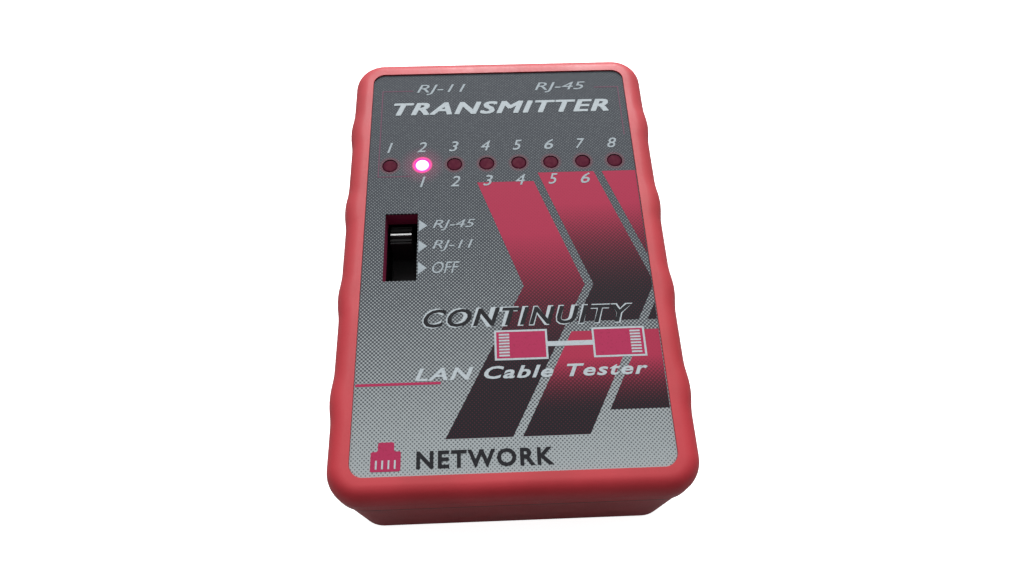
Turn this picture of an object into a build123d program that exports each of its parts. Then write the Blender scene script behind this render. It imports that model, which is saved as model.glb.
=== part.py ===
"""Pocket network cable tester: a two-part hand case with LEDs, a slide switch and two sockets.

Frame: millimetres, +Z out of the face, +Y towards the socket end, +X to the right of the face.
The origin is the centre of the back face, which is the surface the tester lies on.
"""

from build123d import *
import os
from math import pi, radians, tan

# ---------------------------------------------------------------- driving dimensions
# Case
CASE_HALF_W = 30.3
CASE_HALF_L = 46.3
CASE_H = 28.0
CASE_CORNER_R = 6.0
CASE_EDGE_R = 3.0
SEAM_Z = 22.2
WALL_H = 2.4
CAVITY_HALF_W = 27.6
CAVITY_HALF_L = 43.6
CAVITY_CORNER_R = 3.5

# Grip bumps along each long side
GRIP_COUNT = 4
GRIP_PITCH = 19.0
GRIP_HALF_CHORD = 5.2
GRIP_RISE = 0.45

# Rear shell
REAR_STEP = 0.25
REAR_DRAFT = 2.2
REAR_EDGE_R = 1.4
SEAM_CHAMFER = 0.3

# Tongue and groove along the seam
TONGUE_T = 1.1
TONGUE_DEPTH = 1.3
GROOVE_GAP = 0.1
GROOVE_DEPTH = 1.5

# Face label
LABEL_W = 52.57
LABEL_L = 84.5
LABEL_CORNER_R = 2.4
LABEL_T = 0.4
LABEL_SUNK = 0.3
LABEL_GAP = 0.03
LABEL_TOP = CASE_H - LABEL_SUNK
FACE_UNDER = 25.6

# LEDs
LED_COUNT = 8
LED_PITCH = 6.35
LED_ROW_X = 0.14
LED_Y = 18.57
LED_R = 1.45
LED_EDGE_R = 0.3
LED_FLANGE_R = 1.9
LED_FLANGE_H = 1.0
LED_H = 5.3
LED_FLAT = 1.6
LED_SUNK = 0.05
LED_HOLE_R = 1.6
LED_LABEL_HOLE_R = 1.53
LED_LEAD_R = 0.25
LED_LEAD_PITCH = 2.54

# Circuit board
BOARD_TOP = 12.4
BOARD_T = 1.6
BOARD_HALF_W = 27.2
BOARD_LOW_Y = -12.9
BOARD_HIGH_Y = 43.3
BOARD_CORNER_R = 3.5
BOARD_UNDER = BOARD_TOP - BOARD_T
PIN_TAIL = 1.2
PIN_HOLE_GAP = 0.15

# Slide switch
SWITCH_X = -19.4
SWITCH_WINDOW_W = 6.15
SWITCH_WINDOW_L = 14.5
SWITCH_STEP = 4.5
SWITCH_POSITIONS = 3
SWITCH_TRAVEL = SWITCH_STEP * (SWITCH_POSITIONS - 1)
SWITCH_HALF_W = 4.2
SWITCH_HALF_L = 12.4
SWITCH_TOP = 18.7
SWITCH_SHEET = 0.4
SWITCH_BASE_H = 1.6
SWITCH_PAD_H = 0.2
SWITCH_PIN_X = 2.2
SWITCH_PIN_R = 0.4
SWITCH_PAD_HALF_W = 0.8
SWITCH_PAD_HALF_L = 1.5
SLOT_GAP = 0.35
COLLAR_WALL = 1.2
COLLAR_LOW = 24.0
SHROUD_GAP = 0.1
SHROUD_WALL = 0.8
KNOB_OFFSET_X = -0.45
KNOB_W = 4.0
KNOB_L = 3.8
KNOB_TOP = 24.7
KNOB_SHOULDER_DROP = 0.35
KNOB_CREST_W = 0.9
KNOB_CREST_R = 0.3
KNOB_SHOULDER_R = 0.15
KNOB_GROOVE_OFFSETS = (-1.45, -0.7, 0.7, 1.45)
KNOB_GROOVE_W = 0.3
KNOB_GROOVE_DEPTH = 0.3
SLIDER_HALF_W = 3.5
SLIDER_HALF_L = 7.0
SLIDER_LOW = 16.6
SLIDER_HIGH = 18.1
KNOB_Y = SWITCH_STEP
WIPER_W = 1.2
WIPER_T = 0.3
WIPER_TOE = 0.8
WIPER_TOE_RISE = 0.5

# Sockets
JACK_FRONT = 45.9
JACK_DEPTH = 16.0
JACK_H = 12.9
JACK_WALL_GAP = 0.2
JACK_EDGE = 0.3
SLOT_DEPTH = 11.5
SLOT_H = 7.0
SLOT_TOP_WALL = 1.6
LATCH_SLOT_W = 6.2
LATCH_SLOT_H = 1.6
TAB_SLOT_W = 3.4
TAB_SLOT_H = 1.4
CONTACT_PITCH = 1.02
CONTACT_T = 0.4
CONTACT_ROW_Y = 1.6
CONTACT_STAGGER = 2.2
CONTACT_RAISE = 0.6
CONTACT_FRONT = 2.6
CONTACT_BACK = 9.6
CONTACT_DROP = 1.9
RJ45_X = 12.5
RJ45_W = 15.8
RJ45_CONTACTS = 8
RJ45_SLOT_W = 11.8
RJ11_X = -12.8
RJ11_W = 13.4
RJ11_CONTACTS = 6
RJ11_SLOT_W = 9.8

# Battery, lying across the lower end
BATTERY_BODY_L = 46.4
BATTERY_W = 26.5
BATTERY_T = 17.5
BATTERY_LOW_X = -25.2
BATTERY_LOW_Y = -42.0
BATTERY_LOW_Z = 3.5
BATTERY_EDGE_R = 2.0
TERMINAL_H = 2.1
TERMINAL_PITCH = 12.7
STUD_R = 2.85
SOCKET_R = 4.0
SOCKET_SIDES = 6
SNAP_T = 3.4
SNAP_L = 25.0
SNAP_H = 11.0
SNAP_GAP = 0.3
SNAP_CORNER_R = 2.0
BATTERY_GAP = 0.2
BATTERY_RIB_XS = (-16.0, 0.0, 16.0)
BATTERY_RIB_INSET = 1.0
RIB_T = 1.2
FOAM_T = 1.4
FOAM_HALF_W = 15.0
FOAM_HALF_L = 8.0
WIRE_R = 0.65
BEND_SHARE = 0.45
RED_WIRE_Z = 13.7
RED_WIRE_RUN = 1.6
RED_WIRE_BENDS = ((22.0, -12.4, 15.0), (20.4, -10.6, 15.2))
BLACK_WIRE_Z = 11.9
BLACK_WIRE_RUN = 1.2
BLACK_WIRE_BENDS = ((21.0, -14.0, 13.7), (17.8, -12.0, 14.6))
WIRE_GAP_LOW_X = 18.0
WIRE_GAP_HIGH_X = 26.4
WIRE_GAP_LOW_Z = 11.0

# Battery door
BAY_HALF_W = 25.4
BAY_LOW_Y = -42.3
BAY_HIGH_Y = -15.2
DOOR_LEDGE = 0.8
DOOR_T = 1.8
DOOR_GAP = 0.25
DOOR_CORNER_R = 0.8
HOOK_X = 14.0
HOOK_HALF_W = 3.0
HOOK_REACH = 1.1
HOOK_TOP = 3.2
HOOK_T = 0.65
LATCH_HALF_W = 6.0
LATCH_END_Y = -11.4
LATCH_LEAF_HALF_W = 5.0
LATCH_LEAF_T = 0.7
LATCH_LEAF_TOP = 5.0
LATCH_PAD_L = 1.5
LATCH_SETBACK = 0.4
FINGER_GROOVE_COUNT = 5
FINGER_GROOVE_Y = -17.5
FINGER_GROOVE_PITCH = 2.0
FINGER_GROOVE_W = 0.7
FINGER_GROOVE_DEPTH = 0.4
PARTITION_T = 1.2
PARTITION_TOP = 17.0
CASE_HOOK_X = 18.0
CASE_HOOK_HALF_W = 3.0
CASE_HOOK_LOW = 17.5
CASE_HOOK_NIB = 1.0
CASE_HOOK_REACH = 0.7

# Screws and bosses
CASE_SCREW_SPOTS = ((-24.3, 38.0), (24.3, 38.0), (-11.5, -9.3), (11.5, -9.3))
CASE_BOSS_SPLIT = 13.6
CASE_SCREW_SEAT = 6.0
CASE_SCREW_R = 1.45
CASE_SCREW_HEAD_R = 2.6
CASE_SCREW_HEAD_H = 1.9
CASE_SCREW_L = 14.0
SCREW_HOLE_GAP = 0.2
SCREW_HEAD_GAP = 0.3
DRIVE_W = 0.7
DRIVE_L = 3.2
DRIVE_DEPTH = 0.9
REAR_BOSS_R = 3.5
FRONT_BOSS_R = 3.0
BOARD_SCREW_SPOTS = ((-24.3, 27.0), (24.3, 27.0), (24.3, -9.5))
BOARD_SCREW_R = 1.1
BOARD_SCREW_HEAD_R = 2.0
BOARD_SCREW_HEAD_H = 1.5
BOARD_SCREW_L = 7.0
BOARD_BOSS_R = 2.6

# Small parts on the board
CHIP_PITCH = 2.54
CHIP_ROW = 7.62
CHIP_BODY_W = 6.4
CHIP_BODY_H = 3.3
CHIP_STANDOFF = 0.5
CHIP_PIN_W = 0.45
CHIP_PIN_T = 0.25
CHIP_NOTCH_R = 0.8
COUNTER_PINS = 8
COUNTER_SPOT = (3.0, 9.4)
TIMER_PINS = 4
TIMER_SPOT = (-3.0, -3.6)
RESISTOR_COUNT = 8
RESISTOR_PITCH = 4.0
RESISTOR_Y = 25.2
RESISTOR_BODY_R = 1.1
RESISTOR_BODY_L = 5.0
RESISTOR_SPAN = 6.8
AXIAL_LEAD_R = 0.25
DIODE_SPOTS = ((19.0, 12.0), (22.2, 12.0))
DIODE_BODY_R = 0.95
DIODE_BODY_L = 3.8
CAN_SPOT = (9.8, -2.6)
CAN_R = 2.5
CAN_H = 9.0
CAN_EDGE_R = 0.4
CAN_LEAD_PITCH = 2.5
DISC_SPOTS = ((17.5, 1.0), (17.5, -4.0), (4.5, -9.5))
DISC_R = 2.2
DISC_T = 1.6

# ---------------------------------------------------------------- worked out from those
BOSS_ROOT = WALL_H / 2
CASE_SCREW_END = CASE_SCREW_SEAT + CASE_SCREW_L
BOARD_SCREW_END = BOARD_TOP - BOARD_SCREW_L
LED_TOP = LABEL_TOP - LED_SUNK
LED_LOW = LED_TOP - LED_H
LED_XS = [LED_ROW_X + (i - (LED_COUNT - 1) / 2) * LED_PITCH for i in range(LED_COUNT)]
BATTERY_HIGH_X = BATTERY_LOW_X + BATTERY_BODY_L
BATTERY_Y = BATTERY_LOW_Y + BATTERY_W / 2
BATTERY_Z = BATTERY_LOW_Z + BATTERY_T / 2
BATTERY_TOP = BATTERY_LOW_Z + BATTERY_T
JACK_BACK = JACK_FRONT - JACK_DEPTH
PIN_END = BOARD_UNDER - PIN_TAIL
KNOB_X = SWITCH_X + KNOB_OFFSET_X


# ---------------------------------------------------------------- helpers
def slab(x_low, x_high, y_low, y_high, z_low, z_high, mode=Mode.ADD):
    """A box between two corners, in the part being built."""
    centre = ((x_low + x_high) / 2, (y_low + y_high) / 2, (z_low + z_high) / 2)
    with Locations(centre):
        Box(x_high - x_low, y_high - y_low, z_high - z_low, mode=mode)


def rounded_slab(half_w, half_l, corner_r, z_low, z_high, mode=Mode.ADD):
    """A block with rounded upright corners, centred on the Z axis."""
    with BuildSketch(Plane.XY.offset(z_low)) as profile:
        RectangleRounded(2 * half_w, 2 * half_l, corner_r)
    extrude(profile.sketch, amount=z_high - z_low, mode=mode)


def post(x, y, radius, z_low, z_high, mode=Mode.ADD):
    """An upright round post or hole."""
    with Locations((x, y, z_low)):
        Cylinder(radius, z_high - z_low, align=(Align.CENTER, Align.CENTER, Align.MIN), mode=mode)


def grip_outline(inset):
    """Half of the case outline, right of the Y axis, with the grip bumps, moved in by inset."""
    side_x = CASE_HALF_W - inset
    end_y = CASE_HALF_L - inset
    corner = CASE_CORNER_R - inset
    with BuildLine() as half:
        Line((0, -end_y), (side_x - corner, -end_y))
        JernArc((side_x - corner, -end_y), (1, 0), corner, 90)
        reached = -end_y + corner
        for i in range(GRIP_COUNT):
            centre_y = (i - (GRIP_COUNT - 1) / 2) * GRIP_PITCH
            low_y = centre_y - GRIP_HALF_CHORD
            high_y = centre_y + GRIP_HALF_CHORD
            turn_x = side_x + GRIP_RISE / 2
            Line((side_x, reached), (side_x, low_y))
            rise = TangentArc((side_x, low_y), (turn_x, centre_y - GRIP_HALF_CHORD / 2), tangent=(0, 1))
            crown = TangentArc(
                (turn_x, centre_y - GRIP_HALF_CHORD / 2),
                (turn_x, centre_y + GRIP_HALF_CHORD / 2),
                tangent=rise % 1,
            )
            TangentArc((turn_x, centre_y + GRIP_HALF_CHORD / 2), (side_x, high_y), tangent=crown % 1)
            reached = high_y
        Line((side_x, reached), (side_x, end_y - corner))
        JernArc((side_x, end_y - corner), (0, 1), corner, 90)
        Line((side_x - corner, end_y), (0, end_y))
    return half.line


def case_profile(inset, height):
    """The whole case outline as a face at a height."""
    half = grip_outline(inset)
    with BuildSketch(Plane.XY.offset(height)) as profile:
        with BuildLine():
            add(half)
            mirror(half, about=Plane.YZ)
        make_face()
    return profile.sketch


def jack_cutout(centre_x, width):
    """Cut the end wall open round a socket."""
    half = width / 2 + JACK_WALL_GAP
    slab(
        centre_x - half, centre_x + half, CAVITY_HALF_L - RIB_T, CASE_HALF_L + RIB_T,
        BOARD_TOP - JACK_WALL_GAP, BOARD_TOP + JACK_H + JACK_WALL_GAP / 2, Mode.SUBTRACT,
    )


def write(piece, name):
    """Label a finished piece and write it."""
    piece.part.label = name
    export_step(piece.part, f"parts/{name}.step")


os.makedirs("parts", exist_ok=True)

# ---------------------------------------------------------------- front shell
with BuildPart() as front_shell:
    extrude(case_profile(0, SEAM_Z), amount=CASE_H - SEAM_Z)
    fillet(front_shell.edges().group_by(Axis.Z)[-1], radius=CASE_EDGE_R)
    # tongue that enters the rear shell
    rounded_slab(
        CAVITY_HALF_W + TONGUE_T, CAVITY_HALF_L + TONGUE_T, CAVITY_CORNER_R + TONGUE_T,
        SEAM_Z - TONGUE_DEPTH, SEAM_Z,
    )
    rounded_slab(
        CAVITY_HALF_W, CAVITY_HALF_L, CAVITY_CORNER_R,
        SEAM_Z - TONGUE_DEPTH, FACE_UNDER, Mode.SUBTRACT,
    )
    # recess for the label
    rounded_slab(
        LABEL_W / 2 + LABEL_GAP, LABEL_L / 2 + LABEL_GAP, LABEL_CORNER_R + LABEL_GAP,
        LABEL_TOP - LABEL_T, CASE_H, Mode.SUBTRACT,
    )
    # collar round the switch window
    collar_half_w = SWITCH_WINDOW_W / 2 + COLLAR_WALL
    collar_half_l = SWITCH_WINDOW_L / 2 + COLLAR_WALL
    slab(
        SWITCH_X - collar_half_w, SWITCH_X + collar_half_w, -collar_half_l, collar_half_l,
        COLLAR_LOW, FACE_UNDER,
    )
    slab(
        SWITCH_X - SWITCH_WINDOW_W / 2, SWITCH_X + SWITCH_WINDOW_W / 2,
        -SWITCH_WINDOW_L / 2, SWITCH_WINDOW_L / 2, COLLAR_LOW, CASE_H, Mode.SUBTRACT,
    )
    # LED holes
    for led_x in LED_XS:
        post(led_x, LED_Y, LED_HOLE_R, FACE_UNDER, CASE_H, Mode.SUBTRACT)
    # screw bosses
    for screw_x, screw_y in CASE_SCREW_SPOTS:
        post(screw_x, screw_y, FRONT_BOSS_R, CASE_BOSS_SPLIT, FACE_UNDER)
        post(screw_x, screw_y, CASE_SCREW_R, CASE_BOSS_SPLIT, CASE_SCREW_END, Mode.SUBTRACT)
    # ribs that hold the battery down
    for rib_x in BATTERY_RIB_XS:
        slab(
            rib_x - RIB_T / 2, rib_x + RIB_T / 2,
            BATTERY_LOW_Y + BATTERY_RIB_INSET, BAY_HIGH_Y - BATTERY_RIB_INSET,
            BATTERY_TOP + BATTERY_GAP, FACE_UNDER,
        )
    # hooks at the lower end, held by pockets in the rear shell
    for side in (-1, 1):
        hook_low_x = side * CASE_HOOK_X - CASE_HOOK_HALF_W
        hook_high_x = side * CASE_HOOK_X + CASE_HOOK_HALF_W
        hook_back_y = -CAVITY_HALF_L + GROOVE_GAP
        slab(hook_low_x, hook_high_x, hook_back_y, hook_back_y + RIB_T, CASE_HOOK_LOW, FACE_UNDER)
        slab(
            hook_low_x, hook_high_x, -CAVITY_HALF_L - CASE_HOOK_REACH, hook_back_y,
            CASE_HOOK_LOW, CASE_HOOK_LOW + CASE_HOOK_NIB,
        )
    # openings for the sockets
    jack_cutout(RJ45_X, RJ45_W)
    jack_cutout(RJ11_X, RJ11_W)
write(front_shell, "front_shell")

# ---------------------------------------------------------------- rear shell
with BuildPart() as rear_shell:
    extrude(case_profile(REAR_STEP, SEAM_Z), amount=-SEAM_Z, taper=REAR_DRAFT)
    fillet(rear_shell.edges().group_by(Axis.Z)[0], radius=REAR_EDGE_R)
    chamfer(rear_shell.edges().group_by(Axis.Z)[-1], length=SEAM_CHAMFER)
    rounded_slab(
        CAVITY_HALF_W, CAVITY_HALF_L, CAVITY_CORNER_R, WALL_H, SEAM_Z, Mode.SUBTRACT,
    )
    groove = TONGUE_T + GROOVE_GAP
    rounded_slab(
        CAVITY_HALF_W + groove, CAVITY_HALF_L + groove, CAVITY_CORNER_R + groove,
        SEAM_Z - GROOVE_DEPTH, SEAM_Z, Mode.SUBTRACT,
    )
    # partition between the battery bay and the board, open for the latch and for the wires
    partition_low_y = BAY_HIGH_Y + DOOR_GAP
    partition_high_y = partition_low_y + PARTITION_T
    slab(
        -CAVITY_HALF_W, CAVITY_HALF_W, partition_low_y, partition_high_y, WALL_H, PARTITION_TOP,
    )
    slab(
        -LATCH_HALF_W - RIB_T, LATCH_HALF_W + RIB_T, partition_low_y, partition_high_y,
        WALL_H, PARTITION_TOP, Mode.SUBTRACT,
    )
    slab(
        WIRE_GAP_LOW_X, WIRE_GAP_HIGH_X, partition_low_y, partition_high_y,
        WIRE_GAP_LOW_Z, PARTITION_TOP, Mode.SUBTRACT,
    )
    # bosses for the case screws, with their heads sunk from the back
    for screw_x, screw_y in CASE_SCREW_SPOTS:
        post(screw_x, screw_y, REAR_BOSS_R, BOSS_ROOT, CASE_BOSS_SPLIT)
        with Locations(Plane((screw_x, screw_y, 0), z_dir=(0, 0, -1))):
            CounterBoreHole(
                CASE_SCREW_R + SCREW_HOLE_GAP, CASE_SCREW_HEAD_R + SCREW_HEAD_GAP,
                CASE_SCREW_SEAT, CASE_BOSS_SPLIT,
            )
    # bosses under the board
    for screw_x, screw_y in BOARD_SCREW_SPOTS:
        post(screw_x, screw_y, BOARD_BOSS_R, BOSS_ROOT, BOARD_UNDER)
        post(screw_x, screw_y, BOARD_SCREW_R, BOARD_SCREW_END, BOARD_UNDER, Mode.SUBTRACT)
    # door opening, the ledge that the door seats on, and the notch for its latch
    slab(-BAY_HALF_W, BAY_HALF_W, BAY_LOW_Y, BAY_HIGH_Y, 0, WALL_H, Mode.SUBTRACT)
    slab(
        -BAY_HALF_W - DOOR_LEDGE, BAY_HALF_W + DOOR_LEDGE, BAY_LOW_Y, BAY_HIGH_Y + DOOR_LEDGE,
        0, DOOR_T + GROOVE_GAP, Mode.SUBTRACT,
    )
    slab(
        -LATCH_HALF_W - DOOR_GAP, LATCH_HALF_W + DOOR_GAP, BAY_HIGH_Y, LATCH_END_Y + DOOR_GAP,
        0, WALL_H, Mode.SUBTRACT,
    )
    # pockets for the front shell's hooks
    for side in (-1, 1):
        slab(
            side * CASE_HOOK_X - CASE_HOOK_HALF_W - DOOR_GAP,
            side * CASE_HOOK_X + CASE_HOOK_HALF_W + DOOR_GAP,
            -CAVITY_HALF_L - CASE_HOOK_REACH - DOOR_GAP, -CAVITY_HALF_L,
            CASE_HOOK_LOW - DOOR_GAP, CASE_HOOK_LOW + CASE_HOOK_NIB + DOOR_GAP, Mode.SUBTRACT,
        )
    jack_cutout(RJ45_X, RJ45_W)
    jack_cutout(RJ11_X, RJ11_W)
write(rear_shell, "rear_shell")

# ---------------------------------------------------------------- battery door
with BuildPart() as battery_door:
    plate_half_w = BAY_HALF_W + DOOR_LEDGE - DOOR_GAP
    plate_low_y = BAY_LOW_Y + DOOR_GAP
    plate_high_y = BAY_HIGH_Y + DOOR_LEDGE - DOOR_GAP
    slab(-plate_half_w, plate_half_w, plate_low_y, plate_high_y, 0, DOOR_T)
    fillet(battery_door.edges().filter_by(Axis.Z), radius=DOOR_CORNER_R)
    # two hooks that reach over the inner edge of the opening
    for side in (-1, 1):
        hook_low_x = side * HOOK_X - HOOK_HALF_W
        hook_high_x = side * HOOK_X + HOOK_HALF_W
        slab(hook_low_x, hook_high_x, plate_low_y, plate_low_y + LATCH_LEAF_T, DOOR_T, HOOK_TOP)
        slab(
            hook_low_x, hook_high_x, BAY_LOW_Y - HOOK_REACH, plate_low_y + LATCH_LEAF_T,
            HOOK_TOP - HOOK_T, HOOK_TOP,
        )
    # latch: a folded spring leaf that ends in a finger pad
    pad_high_y = LATCH_END_Y
    pad_low_y = pad_high_y - LATCH_PAD_L
    slab(
        -LATCH_LEAF_HALF_W, LATCH_LEAF_HALF_W, plate_high_y - LATCH_LEAF_T, plate_high_y,
        DOOR_T, LATCH_LEAF_TOP,
    )
    slab(
        -LATCH_LEAF_HALF_W, LATCH_LEAF_HALF_W, plate_high_y - LATCH_LEAF_T, pad_high_y - LATCH_SETBACK,
        LATCH_LEAF_TOP - LATCH_LEAF_T, LATCH_LEAF_TOP,
    )
    slab(
        -LATCH_LEAF_HALF_W, LATCH_LEAF_HALF_W, pad_high_y - LATCH_SETBACK - LATCH_LEAF_T,
        pad_high_y - LATCH_SETBACK, 0, LATCH_LEAF_TOP,
    )
    slab(-LATCH_HALF_W, LATCH_HALF_W, pad_low_y, pad_high_y, 0, DOOR_T)
    # finger grooves beside the latch
    for i in range(FINGER_GROOVE_COUNT):
        groove_y = FINGER_GROOVE_Y - i * FINGER_GROOVE_PITCH
        groove_half_w = LATCH_HALF_W * (1 - i / (2 * FINGER_GROOVE_COUNT))
        slab(
            -groove_half_w, groove_half_w, groove_y - FINGER_GROOVE_W / 2,
            groove_y + FINGER_GROOVE_W / 2, 0, FINGER_GROOVE_DEPTH, Mode.SUBTRACT,
        )
write(battery_door, "battery_door")

with BuildPart() as battery_foam:
    slab(
        -FOAM_HALF_W, FOAM_HALF_W, BATTERY_Y - FOAM_HALF_L, BATTERY_Y + FOAM_HALF_L,
        DOOR_T, DOOR_T + FOAM_T,
    )
write(battery_foam, "battery_foam")

# ---------------------------------------------------------------- face label
with BuildPart() as front_label:
    rounded_slab(LABEL_W / 2, LABEL_L / 2, LABEL_CORNER_R, LABEL_TOP - LABEL_T, LABEL_TOP)
    for led_x in LED_XS:
        post(led_x, LED_Y, LED_LABEL_HOLE_R, LABEL_TOP - LABEL_T, LABEL_TOP, Mode.SUBTRACT)
    slab(
        SWITCH_X - SWITCH_WINDOW_W / 2, SWITCH_X + SWITCH_WINDOW_W / 2,
        -SWITCH_WINDOW_L / 2, SWITCH_WINDOW_L / 2, LABEL_TOP - LABEL_T, LABEL_TOP, Mode.SUBTRACT,
    )
write(front_label, "front_label")

# ---------------------------------------------------------------- LEDs
for i, led_x in enumerate(LED_XS):
    with BuildPart() as led:
        post(led_x, LED_Y, LED_FLANGE_R, LED_LOW, LED_LOW + LED_FLANGE_H)
        slab(
            led_x - LED_FLANGE_R, led_x + LED_FLANGE_R, LED_Y - LED_FLANGE_R, LED_Y - LED_FLAT,
            LED_LOW, LED_LOW + LED_FLANGE_H, Mode.SUBTRACT,
        )
        post(led_x, LED_Y, LED_R, LED_LOW, LED_TOP)
        fillet(led.edges().group_by(Axis.Z)[-1], radius=LED_EDGE_R)
    write(led, f"led_{i + 1}")

led_lead_spots = [
    (led_x, LED_Y + side * LED_LEAD_PITCH / 2) for led_x in LED_XS for side in (-1, 1)
]
with BuildPart() as led_leads:
    for lead_x, lead_y in led_lead_spots:
        post(lead_x, lead_y, LED_LEAD_R, PIN_END, LED_LOW)
write(led_leads, "led_leads")

# ---------------------------------------------------------------- slide switch
switch_pin_spots = [
    (SWITCH_X + side * SWITCH_PIN_X, (row - SWITCH_POSITIONS / 2) * SWITCH_STEP)
    for side in (-1, 1)
    for row in range(SWITCH_POSITIONS + 1)
]
base_half_w = SWITCH_HALF_W - SWITCH_SHEET
base_half_l = SWITCH_HALF_L - SWITCH_SHEET
base_top = BOARD_TOP + SWITCH_BASE_H

with BuildPart() as switch_base:
    slab(
        SWITCH_X - base_half_w, SWITCH_X + base_half_w, -base_half_l, base_half_l,
        BOARD_TOP, base_top,
    )
    for pin_x, pin_y in switch_pin_spots:
        post(pin_x, pin_y, SWITCH_PIN_R, BOARD_TOP, base_top, Mode.SUBTRACT)
write(switch_base, "switch_base")

with BuildPart() as switch_terminals:
    for pin_x, pin_y in switch_pin_spots:
        post(pin_x, pin_y, SWITCH_PIN_R, PIN_END, base_top)
        slab(
            pin_x - SWITCH_PAD_HALF_W, pin_x + SWITCH_PAD_HALF_W,
            pin_y - SWITCH_PAD_HALF_L, pin_y + SWITCH_PAD_HALF_L, base_top, base_top + SWITCH_PAD_H,
        )
write(switch_terminals, "switch_terminals")

with BuildPart() as switch_cover:
    slab(
        SWITCH_X - SWITCH_HALF_W, SWITCH_X + SWITCH_HALF_W, -SWITCH_HALF_L, SWITCH_HALF_L,
        BOARD_TOP + SWITCH_SHEET, SWITCH_TOP,
    )
    fillet(switch_cover.edges().filter_by(Axis.Z), radius=SWITCH_SHEET)
    slab(
        SWITCH_X - base_half_w, SWITCH_X + base_half_w, -base_half_l, base_half_l,
        BOARD_TOP + SWITCH_SHEET, SWITCH_TOP - SWITCH_SHEET, Mode.SUBTRACT,
    )
    slot_half_w = KNOB_W / 2 + SLOT_GAP
    slot_half_l = SWITCH_TRAVEL / 2 + KNOB_L / 2 + SLOT_GAP
    slab(
        KNOB_X - slot_half_w, KNOB_X + slot_half_w, -slot_half_l, slot_half_l,
        SWITCH_TOP - SWITCH_SHEET, SWITCH_TOP, Mode.SUBTRACT,
    )
write(switch_cover, "switch_cover")

with BuildPart() as switch_shroud:
    shroud_half_w = SWITCH_WINDOW_W / 2
    shroud_half_l = SWITCH_WINDOW_L / 2
    slab(
        SWITCH_X - shroud_half_w - SHROUD_WALL, SWITCH_X + shroud_half_w + SHROUD_WALL,
        -shroud_half_l - SHROUD_WALL, shroud_half_l + SHROUD_WALL,
        SWITCH_TOP, COLLAR_LOW - SHROUD_GAP,
    )
    slab(
        SWITCH_X - shroud_half_w, SWITCH_X + shroud_half_w, -shroud_half_l, shroud_half_l,
        SWITCH_TOP, COLLAR_LOW - SHROUD_GAP, Mode.SUBTRACT,
    )
write(switch_shroud, "switch_shroud")

with BuildPart() as switch_knob:
    knob_low_x = KNOB_X - KNOB_W / 2
    knob_high_x = KNOB_X + KNOB_W / 2
    shoulder_z = KNOB_TOP - KNOB_SHOULDER_DROP
    slab(
        knob_low_x, knob_high_x, KNOB_Y - KNOB_L / 2, KNOB_Y + KNOB_L / 2,
        SLIDER_HIGH, shoulder_z,
    )
    fillet(switch_knob.edges().filter_by(Axis.X).group_by(Axis.Z)[-1], radius=KNOB_SHOULDER_R)
    slab(
        knob_low_x, knob_high_x, KNOB_Y - KNOB_CREST_W / 2, KNOB_Y + KNOB_CREST_W / 2,
        SLIDER_HIGH, KNOB_TOP,
    )
    fillet(switch_knob.edges().filter_by(Axis.X).group_by(Axis.Z)[-1], radius=KNOB_CREST_R)
    for offset in KNOB_GROOVE_OFFSETS:
        slab(
            knob_low_x, knob_high_x, KNOB_Y + offset - KNOB_GROOVE_W / 2,
            KNOB_Y + offset + KNOB_GROOVE_W / 2, shoulder_z - KNOB_GROOVE_DEPTH, KNOB_TOP,
            Mode.SUBTRACT,
        )
    slab(
        SWITCH_X - SLIDER_HALF_W, SWITCH_X + SLIDER_HALF_W,
        KNOB_Y - SLIDER_HALF_L, KNOB_Y + SLIDER_HALF_L, SLIDER_LOW, SLIDER_HIGH,
    )
write(switch_knob, "switch_knob")

wiper_top = SLIDER_LOW - WIPER_T / 2
wiper_foot = base_top + SWITCH_PAD_H + WIPER_T
wiper_half_step = SWITCH_STEP / 2
with BuildPart() as switch_wipers:
    for side in (-1, 1):
        with BuildSketch(Plane.YZ.offset(SWITCH_X + side * SWITCH_PIN_X)) as strip:
            with BuildLine() as strip_line:
                Polyline(
                    (KNOB_Y - wiper_half_step - WIPER_TOE, wiper_foot + WIPER_TOE_RISE),
                    (KNOB_Y - wiper_half_step, wiper_foot),
                    (KNOB_Y - wiper_half_step / 2, wiper_top),
                    (KNOB_Y + wiper_half_step / 2, wiper_top),
                    (KNOB_Y + wiper_half_step, wiper_foot),
                    (KNOB_Y + wiper_half_step + WIPER_TOE, wiper_foot + WIPER_TOE_RISE),
                )
            trace(line_width=WIPER_T)
        extrude(amount=WIPER_W / 2, both=True)
write(switch_wipers, "switch_wipers")


# ---------------------------------------------------------------- sockets
def contact_spots(centre_x, count):
    """Board holes of a socket's contacts, in two staggered rows."""
    return [
        (
            centre_x + (i - (count - 1) / 2) * CONTACT_PITCH,
            JACK_BACK + CONTACT_ROW_Y + (i % 2) * CONTACT_STAGGER,
        )
        for i in range(count)
    ]


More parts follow.
